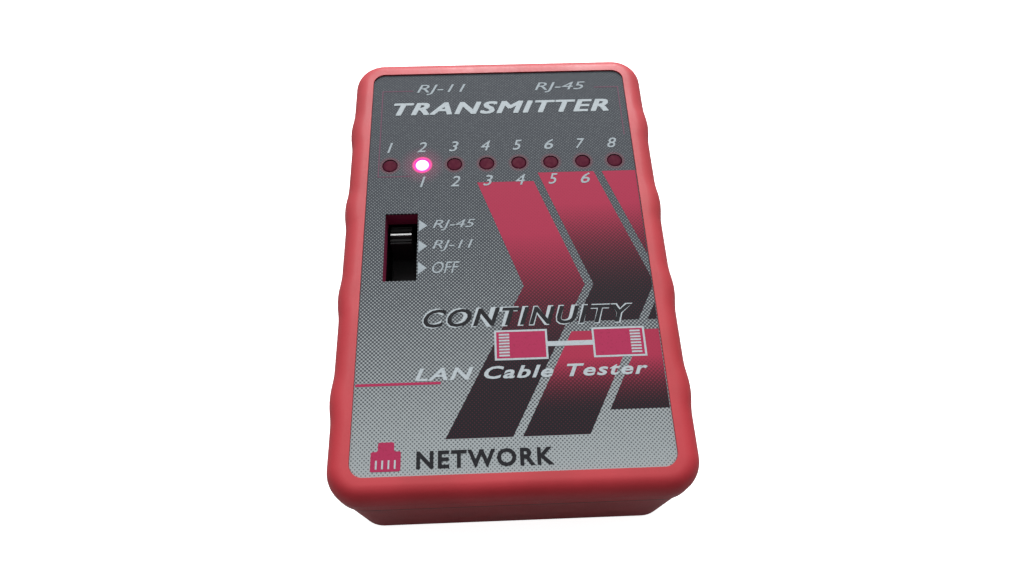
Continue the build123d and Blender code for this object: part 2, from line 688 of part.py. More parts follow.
def jack_body(centre_x, width, slot_w, name):
    """A socket housing with its stepped plug slot, latch side towards the board."""
    slot_high = BOARD_TOP + JACK_H - SLOT_TOP_WALL
    slot_low = slot_high - SLOT_H
    latch_low = slot_low - LATCH_SLOT_H
    tab_low = latch_low - TAB_SLOT_H
    slot_back = JACK_FRONT - SLOT_DEPTH
    with BuildPart() as jack:
        slab(
            centre_x - width / 2, centre_x + width / 2, JACK_BACK, JACK_FRONT,
            BOARD_TOP, BOARD_TOP + JACK_H,
        )
        for step_w, step_low, step_high in (
            (slot_w, slot_low, slot_high),
            (LATCH_SLOT_W, latch_low, slot_low),
            (TAB_SLOT_W, tab_low, latch_low),
        ):
            slab(
                centre_x - step_w / 2, centre_x + step_w / 2, slot_back, JACK_FRONT,
                step_low, step_high, Mode.SUBTRACT,
            )
        mouth_edges = jack.faces().sort_by(Axis.Y)[-1].outer_wire().edges()
        chamfer(mouth_edges, length=JACK_EDGE)
    write(jack, name)


def jack_contacts(centre_x, count, name):
    """The spring wires of a socket, each bent from one strip."""
    slot_high = BOARD_TOP + JACK_H - SLOT_TOP_WALL
    with BuildPart() as contacts:
        for spot_x, spot_y in contact_spots(centre_x, count):
            with BuildSketch(Plane.YZ.offset(spot_x)):
                with BuildLine():
                    Polyline(
                        (spot_y, PIN_END),
                        (spot_y, slot_high + CONTACT_RAISE),
                        (JACK_FRONT - CONTACT_FRONT, slot_high + CONTACT_RAISE),
                        (JACK_FRONT - CONTACT_BACK, slot_high - CONTACT_DROP),
                    )
                trace(line_width=CONTACT_T)
            extrude(amount=CONTACT_T / 2, both=True)
    write(contacts, name)


jack_body(RJ45_X, RJ45_W, RJ45_SLOT_W, "rj45_jack")
jack_contacts(RJ45_X, RJ45_CONTACTS, "rj45_contacts")
jack_body(RJ11_X, RJ11_W, RJ11_SLOT_W, "rj11_jack")
jack_contacts(RJ11_X, RJ11_CONTACTS, "rj11_contacts")

# ---------------------------------------------------------------- battery
with BuildPart() as battery:
    slab(
        BATTERY_LOW_X, BATTERY_HIGH_X, BATTERY_LOW_Y, BATTERY_LOW_Y + BATTERY_W,
        BATTERY_LOW_Z, BATTERY_TOP,
    )
    fillet(battery.edges().filter_by(Axis.X), radius=BATTERY_EDGE_R)
write(battery, "battery")

terminal_plane = Plane((BATTERY_HIGH_X, BATTERY_Y, BATTERY_Z), x_dir=(0, 1, 0), z_dir=(1, 0, 0))
with BuildPart() as battery_terminals:
    with BuildSketch(terminal_plane):
        with Locations((-TERMINAL_PITCH / 2, 0)):
            Circle(STUD_R)
        with Locations((TERMINAL_PITCH / 2, 0)):
            RegularPolygon(SOCKET_R, SOCKET_SIDES)
    extrude(amount=TERMINAL_H)
write(battery_terminals, "battery_terminals")

with BuildPart() as battery_snap:
    snap_low_x = BATTERY_HIGH_X + SNAP_GAP
    slab(
        snap_low_x, snap_low_x + SNAP_T, BATTERY_Y - SNAP_L / 2, BATTERY_Y + SNAP_L / 2,
        BATTERY_Z - SNAP_H / 2, BATTERY_Z + SNAP_H / 2,
    )
    fillet(battery_snap.edges().filter_by(Axis.X), radius=SNAP_CORNER_R)
    with BuildSketch(terminal_plane.offset(SNAP_GAP)):
        with Locations((-TERMINAL_PITCH / 2, 0)):
            Circle(STUD_R + SNAP_GAP)
        with Locations((TERMINAL_PITCH / 2, 0)):
            Circle(SOCKET_R + SNAP_GAP)
    extrude(amount=TERMINAL_H, mode=Mode.SUBTRACT)
write(battery_snap, "battery_snap")


def wire_radii(points):
    """A bend radius for each inner point of a wire's route, as large as its two runs allow."""
    radii = []
    for before, here, after in zip(points, points[1:], points[2:]):
        run_in = Vector(*here) - Vector(*before)
        run_out = Vector(*after) - Vector(*here)
        turn = run_in.get_angle(run_out)
        radii.append(BEND_SHARE * min(run_in.length, run_out.length) / tan(radians(turn / 2)))
    return radii


wire_start_x = snap_low_x + SNAP_T / 2
wire_start_y = BATTERY_Y + SNAP_L / 2


def battery_wire(start_z, run, bends, name):
    """An insulated wire from the snap connector over the partition to the board."""
    last_x, last_y = bends[-1][:2]
    points = (
        (wire_start_x, wire_start_y, start_z),
        (wire_start_x, wire_start_y + run, start_z),
        *bends,
        (last_x, last_y, BOARD_TOP),
    )
    with BuildPart() as wire:
        with BuildLine() as route:
            FilletPolyline(*points, radius=wire_radii(points))
        with BuildSketch(Plane(origin=route.line @ 0, z_dir=route.line % 0)):
            Circle(WIRE_R)
        sweep(path=route.line)
        route_length = sum(edge.length for edge in route.line.edges())
    expected = pi * WIRE_R**2 * route_length
    print(name, "volume", round(wire.part.volume, 2), "expected", round(expected, 2))
    write(wire, name)


battery_wire(RED_WIRE_Z, RED_WIRE_RUN, RED_WIRE_BENDS, "battery_wire_red")
battery_wire(BLACK_WIRE_Z, BLACK_WIRE_RUN, BLACK_WIRE_BENDS, "battery_wire_black")


# ---------------------------------------------------------------- small parts on the board
def chip_pin_spots(centre, pins_per_row):
    """Pin places of a dual-in-line chip whose rows run along X."""
    centre_x, centre_y = centre
    return [
        (centre_x + (i - (pins_per_row - 1) / 2) * CHIP_PITCH, centre_y + side * CHIP_ROW / 2)
        for side in (-1, 1)
        for i in range(pins_per_row)
    ]


def chip_body(centre, pins_per_row, name):
    """The moulded body of a dual-in-line chip, with its end notch."""
    centre_x, centre_y = centre
    half_l = pins_per_row * CHIP_PITCH / 2
    low = BOARD_TOP + CHIP_STANDOFF
    with BuildPart() as chip:
        slab(
            centre_x - half_l, centre_x + half_l, centre_y - CHIP_BODY_W / 2,
            centre_y + CHIP_BODY_W / 2, low, low + CHIP_BODY_H,
        )
        post(
            centre_x - half_l, centre_y, CHIP_NOTCH_R, low + CHIP_BODY_H - CHIP_STANDOFF,
            low + CHIP_BODY_H, Mode.SUBTRACT,
        )
    write(chip, name)


chip_body(COUNTER_SPOT, COUNTER_PINS, "counter_chip")
chip_body(TIMER_SPOT, TIMER_PINS, "timer_chip")

chip_spots = chip_pin_spots(COUNTER_SPOT, COUNTER_PINS) + chip_pin_spots(TIMER_SPOT, TIMER_PINS)
shoulder_low = BOARD_TOP + CHIP_STANDOFF + CHIP_BODY_H / 2
with BuildPart() as chip_pins:
    for centre, pins_per_row in ((COUNTER_SPOT, COUNTER_PINS), (TIMER_SPOT, TIMER_PINS)):
        for pin_x, pin_y in chip_pin_spots(centre, pins_per_row):
            body_edge = centre[1] + (CHIP_BODY_W / 2 if pin_y > centre[1] else -CHIP_BODY_W / 2)
            slab(
                pin_x - CHIP_PIN_W / 2, pin_x + CHIP_PIN_W / 2, pin_y - CHIP_PIN_T / 2,
                pin_y + CHIP_PIN_T / 2, PIN_END, shoulder_low + CHIP_PIN_T,
            )
            slab(
                pin_x - CHIP_PIN_W / 2, pin_x + CHIP_PIN_W / 2, min(body_edge, pin_y),
                max(body_edge, pin_y), shoulder_low, shoulder_low + CHIP_PIN_T,
            )
write(chip_pins, "chip_pins")


def axial_part(centre_x, centre_y, body_r, body_l, lead_span):
    """An axial part lying along Y on the board, with both leads bent down through it."""
    axis_z = BOARD_TOP + body_r + AXIAL_LEAD_R
    with Locations((centre_x, centre_y, axis_z)):
        Cylinder(body_r, body_l, rotation=(90, 0, 0))
        Cylinder(AXIAL_LEAD_R, lead_span, rotation=(90, 0, 0))
    for side in (-1, 1):
        post(centre_x, centre_y + side * lead_span / 2, AXIAL_LEAD_R, PIN_END, axis_z)


resistor_xs = [(i - (RESISTOR_COUNT - 1) / 2) * RESISTOR_PITCH for i in range(RESISTOR_COUNT)]
with BuildPart() as resistors:
    for resistor_x in resistor_xs:
        axial_part(resistor_x, RESISTOR_Y, RESISTOR_BODY_R, RESISTOR_BODY_L, RESISTOR_SPAN)
write(resistors, "resistors")

with BuildPart() as diodes:
    for diode_x, diode_y in DIODE_SPOTS:
        axial_part(diode_x, diode_y, DIODE_BODY_R, DIODE_BODY_L, RESISTOR_SPAN)
write(diodes, "diodes")

with BuildPart() as electrolytic_capacitor:
    can_x, can_y = CAN_SPOT
    post(can_x, can_y, CAN_R, BOARD_TOP, BOARD_TOP + CAN_H)
    fillet(electrolytic_capacitor.edges().group_by(Axis.Z)[-1], radius=CAN_EDGE_R)
    for side in (-1, 1):
        post(can_x + side * CAN_LEAD_PITCH / 2, can_y, AXIAL_LEAD_R, PIN_END, BOARD_TOP)
write(electrolytic_capacitor, "electrolytic_capacitor")

with BuildPart() as ceramic_capacitors:
    for disc_x, disc_y in DISC_SPOTS:
        with Locations((disc_x, disc_y, BOARD_TOP + DISC_R + CHIP_STANDOFF)):
            Cylinder(DISC_R, DISC_T, rotation=(90, 0, 0))
        for side in (-1, 1):
            post(
                disc_x + side * CAN_LEAD_PITCH / 2, disc_y, AXIAL_LEAD_R, PIN_END,
                BOARD_TOP + DISC_R,
            )
write(ceramic_capacitors, "ceramic_capacitors")

# ---------------------------------------------------------------- circuit board
axial_spots = [
    (x, y + side * RESISTOR_SPAN / 2)
    for x, y in [(x, RESISTOR_Y) for x in resistor_xs] + list(DIODE_SPOTS)
    for side in (-1, 1)
]
radial_spots = [
    (x + side * CAN_LEAD_PITCH / 2, y) for x, y in [CAN_SPOT] + list(DISC_SPOTS) for side in (-1, 1)
]
thin_spots = led_lead_spots + axial_spots + radial_spots
jack_spots = contact_spots(RJ45_X, RJ45_CONTACTS) + contact_spots(RJ11_X, RJ11_CONTACTS)

with BuildPart() as circuit_board:
    with BuildSketch(Plane.XY.offset(BOARD_UNDER)) as board_profile:
        with Locations((0, (BOARD_LOW_Y + BOARD_HIGH_Y) / 2)):
            RectangleRounded(2 * BOARD_HALF_W, BOARD_HIGH_Y - BOARD_LOW_Y, BOARD_CORNER_R)
        with Locations(*CASE_SCREW_SPOTS):
            Circle(REAR_BOSS_R + SNAP_GAP, mode=Mode.SUBTRACT)
        with Locations(*BOARD_SCREW_SPOTS):
            Circle(BOARD_SCREW_R + PIN_HOLE_GAP, mode=Mode.SUBTRACT)
        with Locations(*thin_spots):
            Circle(AXIAL_LEAD_R + PIN_HOLE_GAP, mode=Mode.SUBTRACT)
        with Locations(*(jack_spots + chip_spots)):
            Circle(CONTACT_T / 2 + PIN_HOLE_GAP, mode=Mode.SUBTRACT)
        with Locations(*switch_pin_spots):
            Circle(SWITCH_PIN_R + PIN_HOLE_GAP, mode=Mode.SUBTRACT)
    extrude(amount=BOARD_T)
write(circuit_board, "circuit_board")

# ---------------------------------------------------------------- screws
with BuildPart() as case_screws:
    for screw_x, screw_y in CASE_SCREW_SPOTS:
        post(screw_x, screw_y, CASE_SCREW_R, CASE_SCREW_SEAT, CASE_SCREW_END)
        head_low = CASE_SCREW_SEAT - CASE_SCREW_HEAD_H
        post(screw_x, screw_y, CASE_SCREW_HEAD_R, head_low, CASE_SCREW_SEAT)
        for cut_w, cut_l in ((DRIVE_W, DRIVE_L), (DRIVE_L, DRIVE_W)):
            slab(
                screw_x - cut_w / 2, screw_x + cut_w / 2, screw_y - cut_l / 2, screw_y + cut_l / 2,
                head_low, head_low + DRIVE_DEPTH, Mode.SUBTRACT,
            )
write(case_screws, "case_screws")

with BuildPart() as board_screws:
    for screw_x, screw_y in BOARD_SCREW_SPOTS:
        post(screw_x, screw_y, BOARD_SCREW_R, BOARD_SCREW_END, BOARD_TOP)
        head_high = BOARD_TOP + BOARD_SCREW_HEAD_H
        post(screw_x, screw_y, BOARD_SCREW_HEAD_R, BOARD_TOP, head_high)
        slab(
            screw_x - DRIVE_W / 2, screw_x + DRIVE_W / 2, screw_y - DRIVE_L / 2, screw_y + DRIVE_L / 2,
            head_high - DRIVE_DEPTH, head_high, Mode.SUBTRACT,
        )
write(board_screws, "board_screws")
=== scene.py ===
"""Looks of a pocket network cable tester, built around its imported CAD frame.

Frame: metres, +Z out of the face, +Y towards the socket end, +X to the right of the face.
Sizes inside the classes are millimetres, and MM turns them to metres.
"""

import logging
import math
from dataclasses import dataclass
from enum import Enum
from typing import Any, Optional, Sequence

import bmesh
import bpy
from mathutils import Matrix, Vector

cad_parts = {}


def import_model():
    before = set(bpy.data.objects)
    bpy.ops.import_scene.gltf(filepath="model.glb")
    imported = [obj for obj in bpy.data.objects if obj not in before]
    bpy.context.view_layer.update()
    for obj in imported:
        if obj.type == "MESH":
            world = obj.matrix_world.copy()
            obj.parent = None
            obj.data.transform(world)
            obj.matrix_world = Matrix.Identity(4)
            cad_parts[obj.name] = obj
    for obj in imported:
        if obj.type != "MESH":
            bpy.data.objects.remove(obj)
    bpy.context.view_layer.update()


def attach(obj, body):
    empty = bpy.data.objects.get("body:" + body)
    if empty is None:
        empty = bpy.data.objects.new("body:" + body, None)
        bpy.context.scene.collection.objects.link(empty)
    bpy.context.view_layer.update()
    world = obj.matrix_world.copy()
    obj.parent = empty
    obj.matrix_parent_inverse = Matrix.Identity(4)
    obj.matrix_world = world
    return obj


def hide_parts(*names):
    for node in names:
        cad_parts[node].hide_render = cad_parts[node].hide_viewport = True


LOG = logging.getLogger("cable_tester")
MM = 0.001
WELD = 2e-6
SHARP_DEGREES = 32.0
FILM_SHEEN = 0.15

Spot = tuple[float, float]
Extent = tuple[float, float, float, float]

COLOUR = {"data_type": "RGBA"}
SMOOTH = {"interpolation_type": "SMOOTHSTEP"}


class Body(Enum):
    """The moving bodies of the frame."""

    CASE = "case"
    SLIDER = "switch_slider"
    DOOR = "rear_door"


# ---------------------------------------------------------------- colour and nodes
def linear(hex_colour: str) -> tuple[float, float, float, float]:
    """Turns an sRGB colour to the linear colour that Blender's sockets hold.

    Args:
        hex_colour: The colour as "#rrggbb".

    Returns:
        Linear red, green, blue and an alpha of 1.
    """
    channels = [int(hex_colour[i : i + 2], 16) / 255 for i in (1, 3, 5)]
    curve = [c / 12.92 if c <= 0.04045 else ((c + 0.055) / 1.055) ** 2.4 for c in channels]
    return (curve[0], curve[1], curve[2], 1.0)


def add_node(
    tree: bpy.types.NodeTree, kind: str, inputs: Optional[dict] = None, **settings: Any
) -> bpy.types.Node:
    """Adds one node with its settings and its links.

    Args:
        tree: The node tree.
        kind: The node's type name.
        inputs: Values, "#rrggbb" colours, sockets or nodes by input name or number. A node gives
            its first output.
        settings: The node's own properties.

    Returns:
        The new node.
    """
    node = tree.nodes.new(kind)
    for key, value in settings.items():
        setattr(node, key, value)
    for key, value in (inputs or {}).items():
        if isinstance(key, int):
            socket = node.inputs[key]
        else:
            socket = next(s for s in node.inputs if s.name == key and s.enabled)
        if isinstance(value, str):
            value = linear(value)
        if isinstance(value, bpy.types.Node):
            value = next(s for s in value.outputs if s.enabled)
        if isinstance(value, bpy.types.NodeSocket):
            tree.links.new(value, socket)
        else:
            socket.default_value = value
    return node


def span(low: float, high: float, to_low: float = 0.0, to_high: float = 1.0) -> dict:
    """The ends of a ranging node.

    Args:
        low: The value that gives to_low.
        high: The value that gives to_high.
        to_low: The result at low.
        to_high: The result at high.

    Returns:
        The node's inputs by name.
    """
    return {"From Min": low, "From Max": high, "To Min": to_low, "To Max": to_high}


class Recipe:
    """A material being mixed: its node tree and its pattern coordinates, in metres."""

    def __init__(self, name: str) -> None:
        """Starts an empty material.

        Args:
            name: The material's name.
        """
        self.material = bpy.data.materials.new(name)
        self.material.use_nodes = True
        self.tree = self.material.node_tree
        self.tree.nodes.clear()
        self.place = self.add("ShaderNodeTexCoord").outputs["Object"]

    def add(self, kind: str, inputs: Optional[dict] = None, **settings: Any) -> bpy.types.Node:
        """Adds one node to this material, as add_node does."""
        return add_node(self.tree, kind, inputs, **settings)

    def axes(self) -> tuple:
        """The X, Y and Z sockets of the pattern coordinates."""
        outputs = self.add("ShaderNodeSeparateXYZ", {"Vector": self.place}).outputs
        return (outputs["X"], outputs["Y"], outputs["Z"])

    def grit(self, size_mm: float, detail: float) -> dict:
        """The inputs of a noise whose features are about size_mm across."""
        return {"Vector": self.place, "Scale": 1 / (size_mm * MM), "Detail": detail}

    def finish(self, inputs: dict) -> bpy.types.Material:
        """Closes the material with one principled shader.

        Args:
            inputs: The shader's values and links by input name.

        Returns:
            The finished material.
        """
        shader = self.add("ShaderNodeBsdfPrincipled", inputs)
        self.add("ShaderNodeOutputMaterial", {"Surface": shader})
        return self.material


# ---------------------------------------------------------------- finishes
@dataclass(frozen=True)
class SparkTexturedAbs:
    """ABS moulded in a spark-eroded tool: an even fine grain breaks the gloss into a soft sheen,
    with faint clouding from the pigment and a few polished patches where hands rub it. Painted
    shade darkens the seam line, where the two shells' edges shade each other, and the walls of
    the switch window, and painted light makes the wall of the lit lamp's hole glow pink."""

    name: str
    colour: str
    deep: str
    roughness: float = 0.52
    grain_mm: float = 0.26
    depth_mm: float = 0.012
    cloud_mm: float = 9.0
    rub_mm: float = 14.0
    sheen: float = 0.5
    seam_z: float = 22.2
    seam_w: Spot = (0.12, 0.5)
    # Painted shade colour for the seam line, where the two shells' edges shade each other.
    seam_shade: str = "#2c080c"
    window: Extent = (-19.4, 0.0, 3.1, 7.28)
    # Painted shade colour for the walls of the switch window.
    window_shade: str = "#942a52"
    lit_spot: Spot = (-15.735, 18.57)
    hole_r: Spot = (1.66, 1.72)
    face_rise: Spot = (1.6, 1.8)
    # Painted light: the pink that the wall of the lit lamp's hole emits.
    leak: str = "#ff2f98"

    def hollows(self, mix: Recipe) -> tuple:
        """Finds the seam, the window walls and the lit lamp's hole.

        Args:
            mix: The material that the masks are added to.

        Returns:
            The masks of the seam, the window and the hole.
        """
        x_axis, y_axis, z_axis = mix.axes()
        above = mix.add("ShaderNodeMath", {0: z_axis, 1: self.seam_z * MM}, operation="SUBTRACT")
        apart = mix.add("ShaderNodeMath", {0: above}, operation="ABSOLUTE")
        seam = mix.add(
            "ShaderNodeMapRange",
            {"Value": apart, **span(self.seam_w[0] * MM, self.seam_w[1] * MM, 1.0, 0.0)},
            **SMOOTH,
        )
        middle_x, middle_y, half_w, half_l = (side * MM for side in self.window)
        reaches = []
        for axis, middle, half in ((x_axis, middle_x, half_w), (y_axis, middle_y, half_l)):
            away = mix.add("ShaderNodeMath", {0: axis, 1: middle}, operation="SUBTRACT")
            size = mix.add("ShaderNodeMath", {0: away}, operation="ABSOLUTE")
            reaches.append(mix.add("ShaderNodeMath", {0: size, 1: half}, operation="SUBTRACT"))
        beyond = mix.add("ShaderNodeMath", {0: reaches[0], 1: reaches[1]}, operation="MAXIMUM")
        framed = mix.add(
            "ShaderNodeMapRange", {"Value": beyond, **span(0.0, 0.05 * MM, 1.0, 0.0)}, **SMOOTH
        )
        top = mix.add(
            "ShaderNodeMapRange",
            {"Value": above, **span(self.face_rise[0] * MM, self.face_rise[1] * MM)},
            **SMOOTH,
        )
        window = mix.add("ShaderNodeMath", {0: framed, 1: top}, operation="MULTIPLY")
        near, far = (value * MM for value in self.hole_r)
        offset = mix.add(
            "ShaderNodeMath", {0: x_axis, 1: self.lit_spot[0] * MM}, operation="SUBTRACT"
        )
        along = mix.add(
            "ShaderNodeMath", {0: y_axis, 1: self.lit_spot[1] * MM}, operation="SUBTRACT"
        )
        flat = mix.add("ShaderNodeCombineXYZ", {"X": offset, "Y": along})
        length = mix.add("ShaderNodeVectorMath", {0: flat}, operation="LENGTH")
        inside = mix.add(
            "ShaderNodeMapRange",
            {"Value": length.outputs["Value"], **span(near, far, 1.0, 0.0)},
            **SMOOTH,
        )
        hole = mix.add("ShaderNodeMath", {0: inside, 1: top}, operation="MULTIPLY")
        return (seam, window, hole)

    def material(self) -> bpy.types.Material:
        """Mixes the finish."""
        mix = Recipe(self.name)
        seam, window, hole = self.hollows(mix)
        cloud = mix.add(
            "ShaderNodeMapRange",
            {
                "Value": mix.add("ShaderNodeTexNoise", mix.grit(self.cloud_mm, 4.0)),
                **span(0.35, 0.68),
            },
            **SMOOTH,
        )
        grain = mix.add("ShaderNodeTexNoise", mix.grit(self.grain_mm, 3.0))
        speck = mix.add(
            "ShaderNodeMapRange", {"Value": grain, **span(0.3, 0.7, -0.05, 0.05)}, **SMOOTH
        )
        rub = mix.add(
            "ShaderNodeMapRange",
            {
                "Value": mix.add("ShaderNodeTexNoise", mix.grit(self.rub_mm, 5.0)),
                **span(0.45, 0.7, self.roughness, self.roughness - 0.09),
            },
            **SMOOTH,
        )
        rough = mix.add("ShaderNodeMath", {0: rub, 1: speck}, operation="ADD")
        red = mix.add(
            "ShaderNodeMix", {"Factor": cloud, "A": self.colour, "B": self.deep}, **COLOUR
        )
        # Painted shade: the seam and the switch window's walls are mixed towards darker colours
        # where shade falls.
        for mask, painted_shading in ((seam, self.seam_shade), (window, self.window_shade)):
            red = mix.add("ShaderNodeMix", {"Factor": mask, "A": red, "B": painted_shading}, **COLOUR)
        return mix.finish(
            {
                "Base Color": red,
                "Roughness": rough,
                "IOR": 1.53,
                "Specular IOR Level": self.sheen,
                # Painted light: the wall of the lit lamp's hole emits pink in place of the lamp's
                # light falling on it.
                "Emission Color": self.leak,
                "Emission Strength": hole,
                "Normal": mix.add(
                    "ShaderNodeBump", {"Height": grain, "Distance": self.depth_mm * MM}
                ),
            }
        )


@dataclass(frozen=True)
class MouldedPlastic:
    """A plain moulded, dipped or extruded plastic: near-even colour, a slight flow clouding,
    and a skin whose gloss wanders a little."""

    name: str
    colour: str
    deep: str
    roughness: float = 0.35
    grain_mm: float = 0.4
    depth_mm: float = 0.006
    ior: float = 1.5

    def material(self) -> bpy.types.Material:
        """Mixes the finish."""
        mix = Recipe(self.name)
        grain = mix.add("ShaderNodeTexNoise", mix.grit(self.grain_mm, 3.0))
        cloud = mix.add(
            "ShaderNodeMapRange",
            {
                "Value": mix.add("ShaderNodeTexNoise", mix.grit(self.grain_mm * 12, 3.0)),
                **span(0.35, 0.7),
            },
            **SMOOTH,
        )
        rough = mix.add(
            "ShaderNodeMapRange",
            {"Value": grain, **span(0.3, 0.7, self.roughness - 0.05, self.roughness + 0.07)},
            **SMOOTH,
        )
        return mix.finish(
            {
                "Base Color": mix.add(
                    "ShaderNodeMix", {"Factor": cloud, "A": self.colour, "B": self.deep}, **COLOUR
                ),
                "Roughness": rough,
                "IOR": self.ior,
                "Normal": mix.add(
                    "ShaderNodeBump", {"Height": grain, "Distance": self.depth_mm * MM}
                ),
            }
        )


@dataclass(frozen=True)
class CrestedKnob:
    """Black ABS knob: its crest is polished bright by fingertips, and below that the plastic stays
    matt and near black, so that only one line of it catches the light."""

    name: str
    colour: str = "#060607"
    deep: str = "#0b0b0d"
    crest: Spot = (24.42, 24.6)
    polished: float = 0.16
    matt: float = 0.85

    def material(self) -> bpy.types.Material:
        """Mixes the finish."""
        mix = Recipe(self.name)
        height = mix.axes()[2]
        low, high = (level * MM for level in self.crest)
        wear = mix.add(
            "ShaderNodeMapRange",
            {
                "Value": mix.add("ShaderNodeTexNoise", mix.grit(0.3, 3.0)),
                **span(0.3, 0.7, -0.02, 0.03),
            },
            **SMOOTH,
        )
        gloss = mix.add(
            "ShaderNodeMapRange",
            {"Value": height, **span(low, high, self.matt, self.polished)},
            **SMOOTH,
        )
        return mix.finish(
            {
                "Base Color": mix.add(
                    "ShaderNodeMix",
                    {
                        "Factor": mix.add("ShaderNodeTexNoise", mix.grit(0.5, 3.0)),
                        "A": self.colour,
                        "B": self.deep,
                    },
                    **COLOUR,
                ),
                "Roughness": mix.add("ShaderNodeMath", {0: gloss, 1: wear}, operation="ADD"),
                "IOR": 1.53,
            }
        )


@dataclass(frozen=True)
class PlatedMetal:
    """Stamped metal under a thin plating: a bright skin with rolling lines along it and a dull
    bloom where the plating has dulled."""

    name: str
    colour: str
    dull: str
    roughness: float = 0.28
    line_mm: float = 0.12
    stretch: float = 14.0

    def material(self) -> bpy.types.Material:
        """Mixes the finish."""
        mix = Recipe(self.name)
        along = mix.add(
            "ShaderNodeMapping", {"Vector": mix.place, "Scale": (1.0, 1 / self.stretch, 1.0)}
        )
        lines = mix.add(
            "ShaderNodeTexNoise",
            {"Vector": along, "Scale": 1 / (self.line_mm * MM), "Detail": 3.0},
        )
        bloom = mix.add(
            "ShaderNodeMapRange",
            {"Value": mix.add("ShaderNodeTexNoise", mix.grit(2.6, 4.0)), **span(0.45, 0.72)},
            **SMOOTH,
        )
        rough = mix.add(
            "ShaderNodeMapRange",
            {"Value": lines, **span(0.3, 0.7, self.roughness - 0.06, self.roughness + 0.1)},
            **SMOOTH,
        )
        return mix.finish(
            {
                "Base Color": mix.add(
                    "ShaderNodeMix", {"Factor": bloom, "A": self.colour, "B": self.dull}, **COLOUR
                ),
                "Metallic": 1.0,
                "Roughness": rough,
                "Normal": mix.add("ShaderNodeBump", {"Height": lines, "Distance": 0.004 * MM}),
            }
        )


@dataclass(frozen=True)
class Halftone:
    """A printer's dot screen turned to 45 degrees, in square cells of pitch_mm."""

    pitch_mm: float = 0.49

    def share(self, mix: Recipe, cover: Any, softness: float = 0.31) -> bpy.types.Node:
        """Where the screen leaves ink, for a wanted cover.

        Args:
            mix: The material that the screen is added to.
            cover: The wanted ink cover, a socket from 0 to 1.
            softness: How far a dot's edge spreads, in cover.

        Returns:
            A node that is 1 in a dot and 0 between dots.
        """
        turned = mix.add(
            "ShaderNodeMapping",
            {
                "Vector": mix.place,
                "Rotation": (0.0, 0.0, math.radians(45)),
                "Scale": (2 * math.pi / (self.pitch_mm * MM),) * 3,
            },
        )
        cell = mix.add("ShaderNodeSeparateXYZ", {"Vector": turned}).outputs
        waves = [
            mix.add("ShaderNodeMath", {0: cell[axis]}, operation="COSINE") for axis in ("X", "Y")
        ]
        both = mix.add("ShaderNodeMath", {0: waves[0], 1: waves[1]}, operation="ADD")
        height = mix.add("ShaderNodeMapRange", {"Value": both, "From Min": -2.0, "From Max": 2.0})
        gap = mix.add("ShaderNodeMath", {0: cover, 1: height}, operation="SUBTRACT")
        return mix.add("ShaderNodeMapRange", {"Value": gap, **span(-softness, softness)}, **SMOOTH)


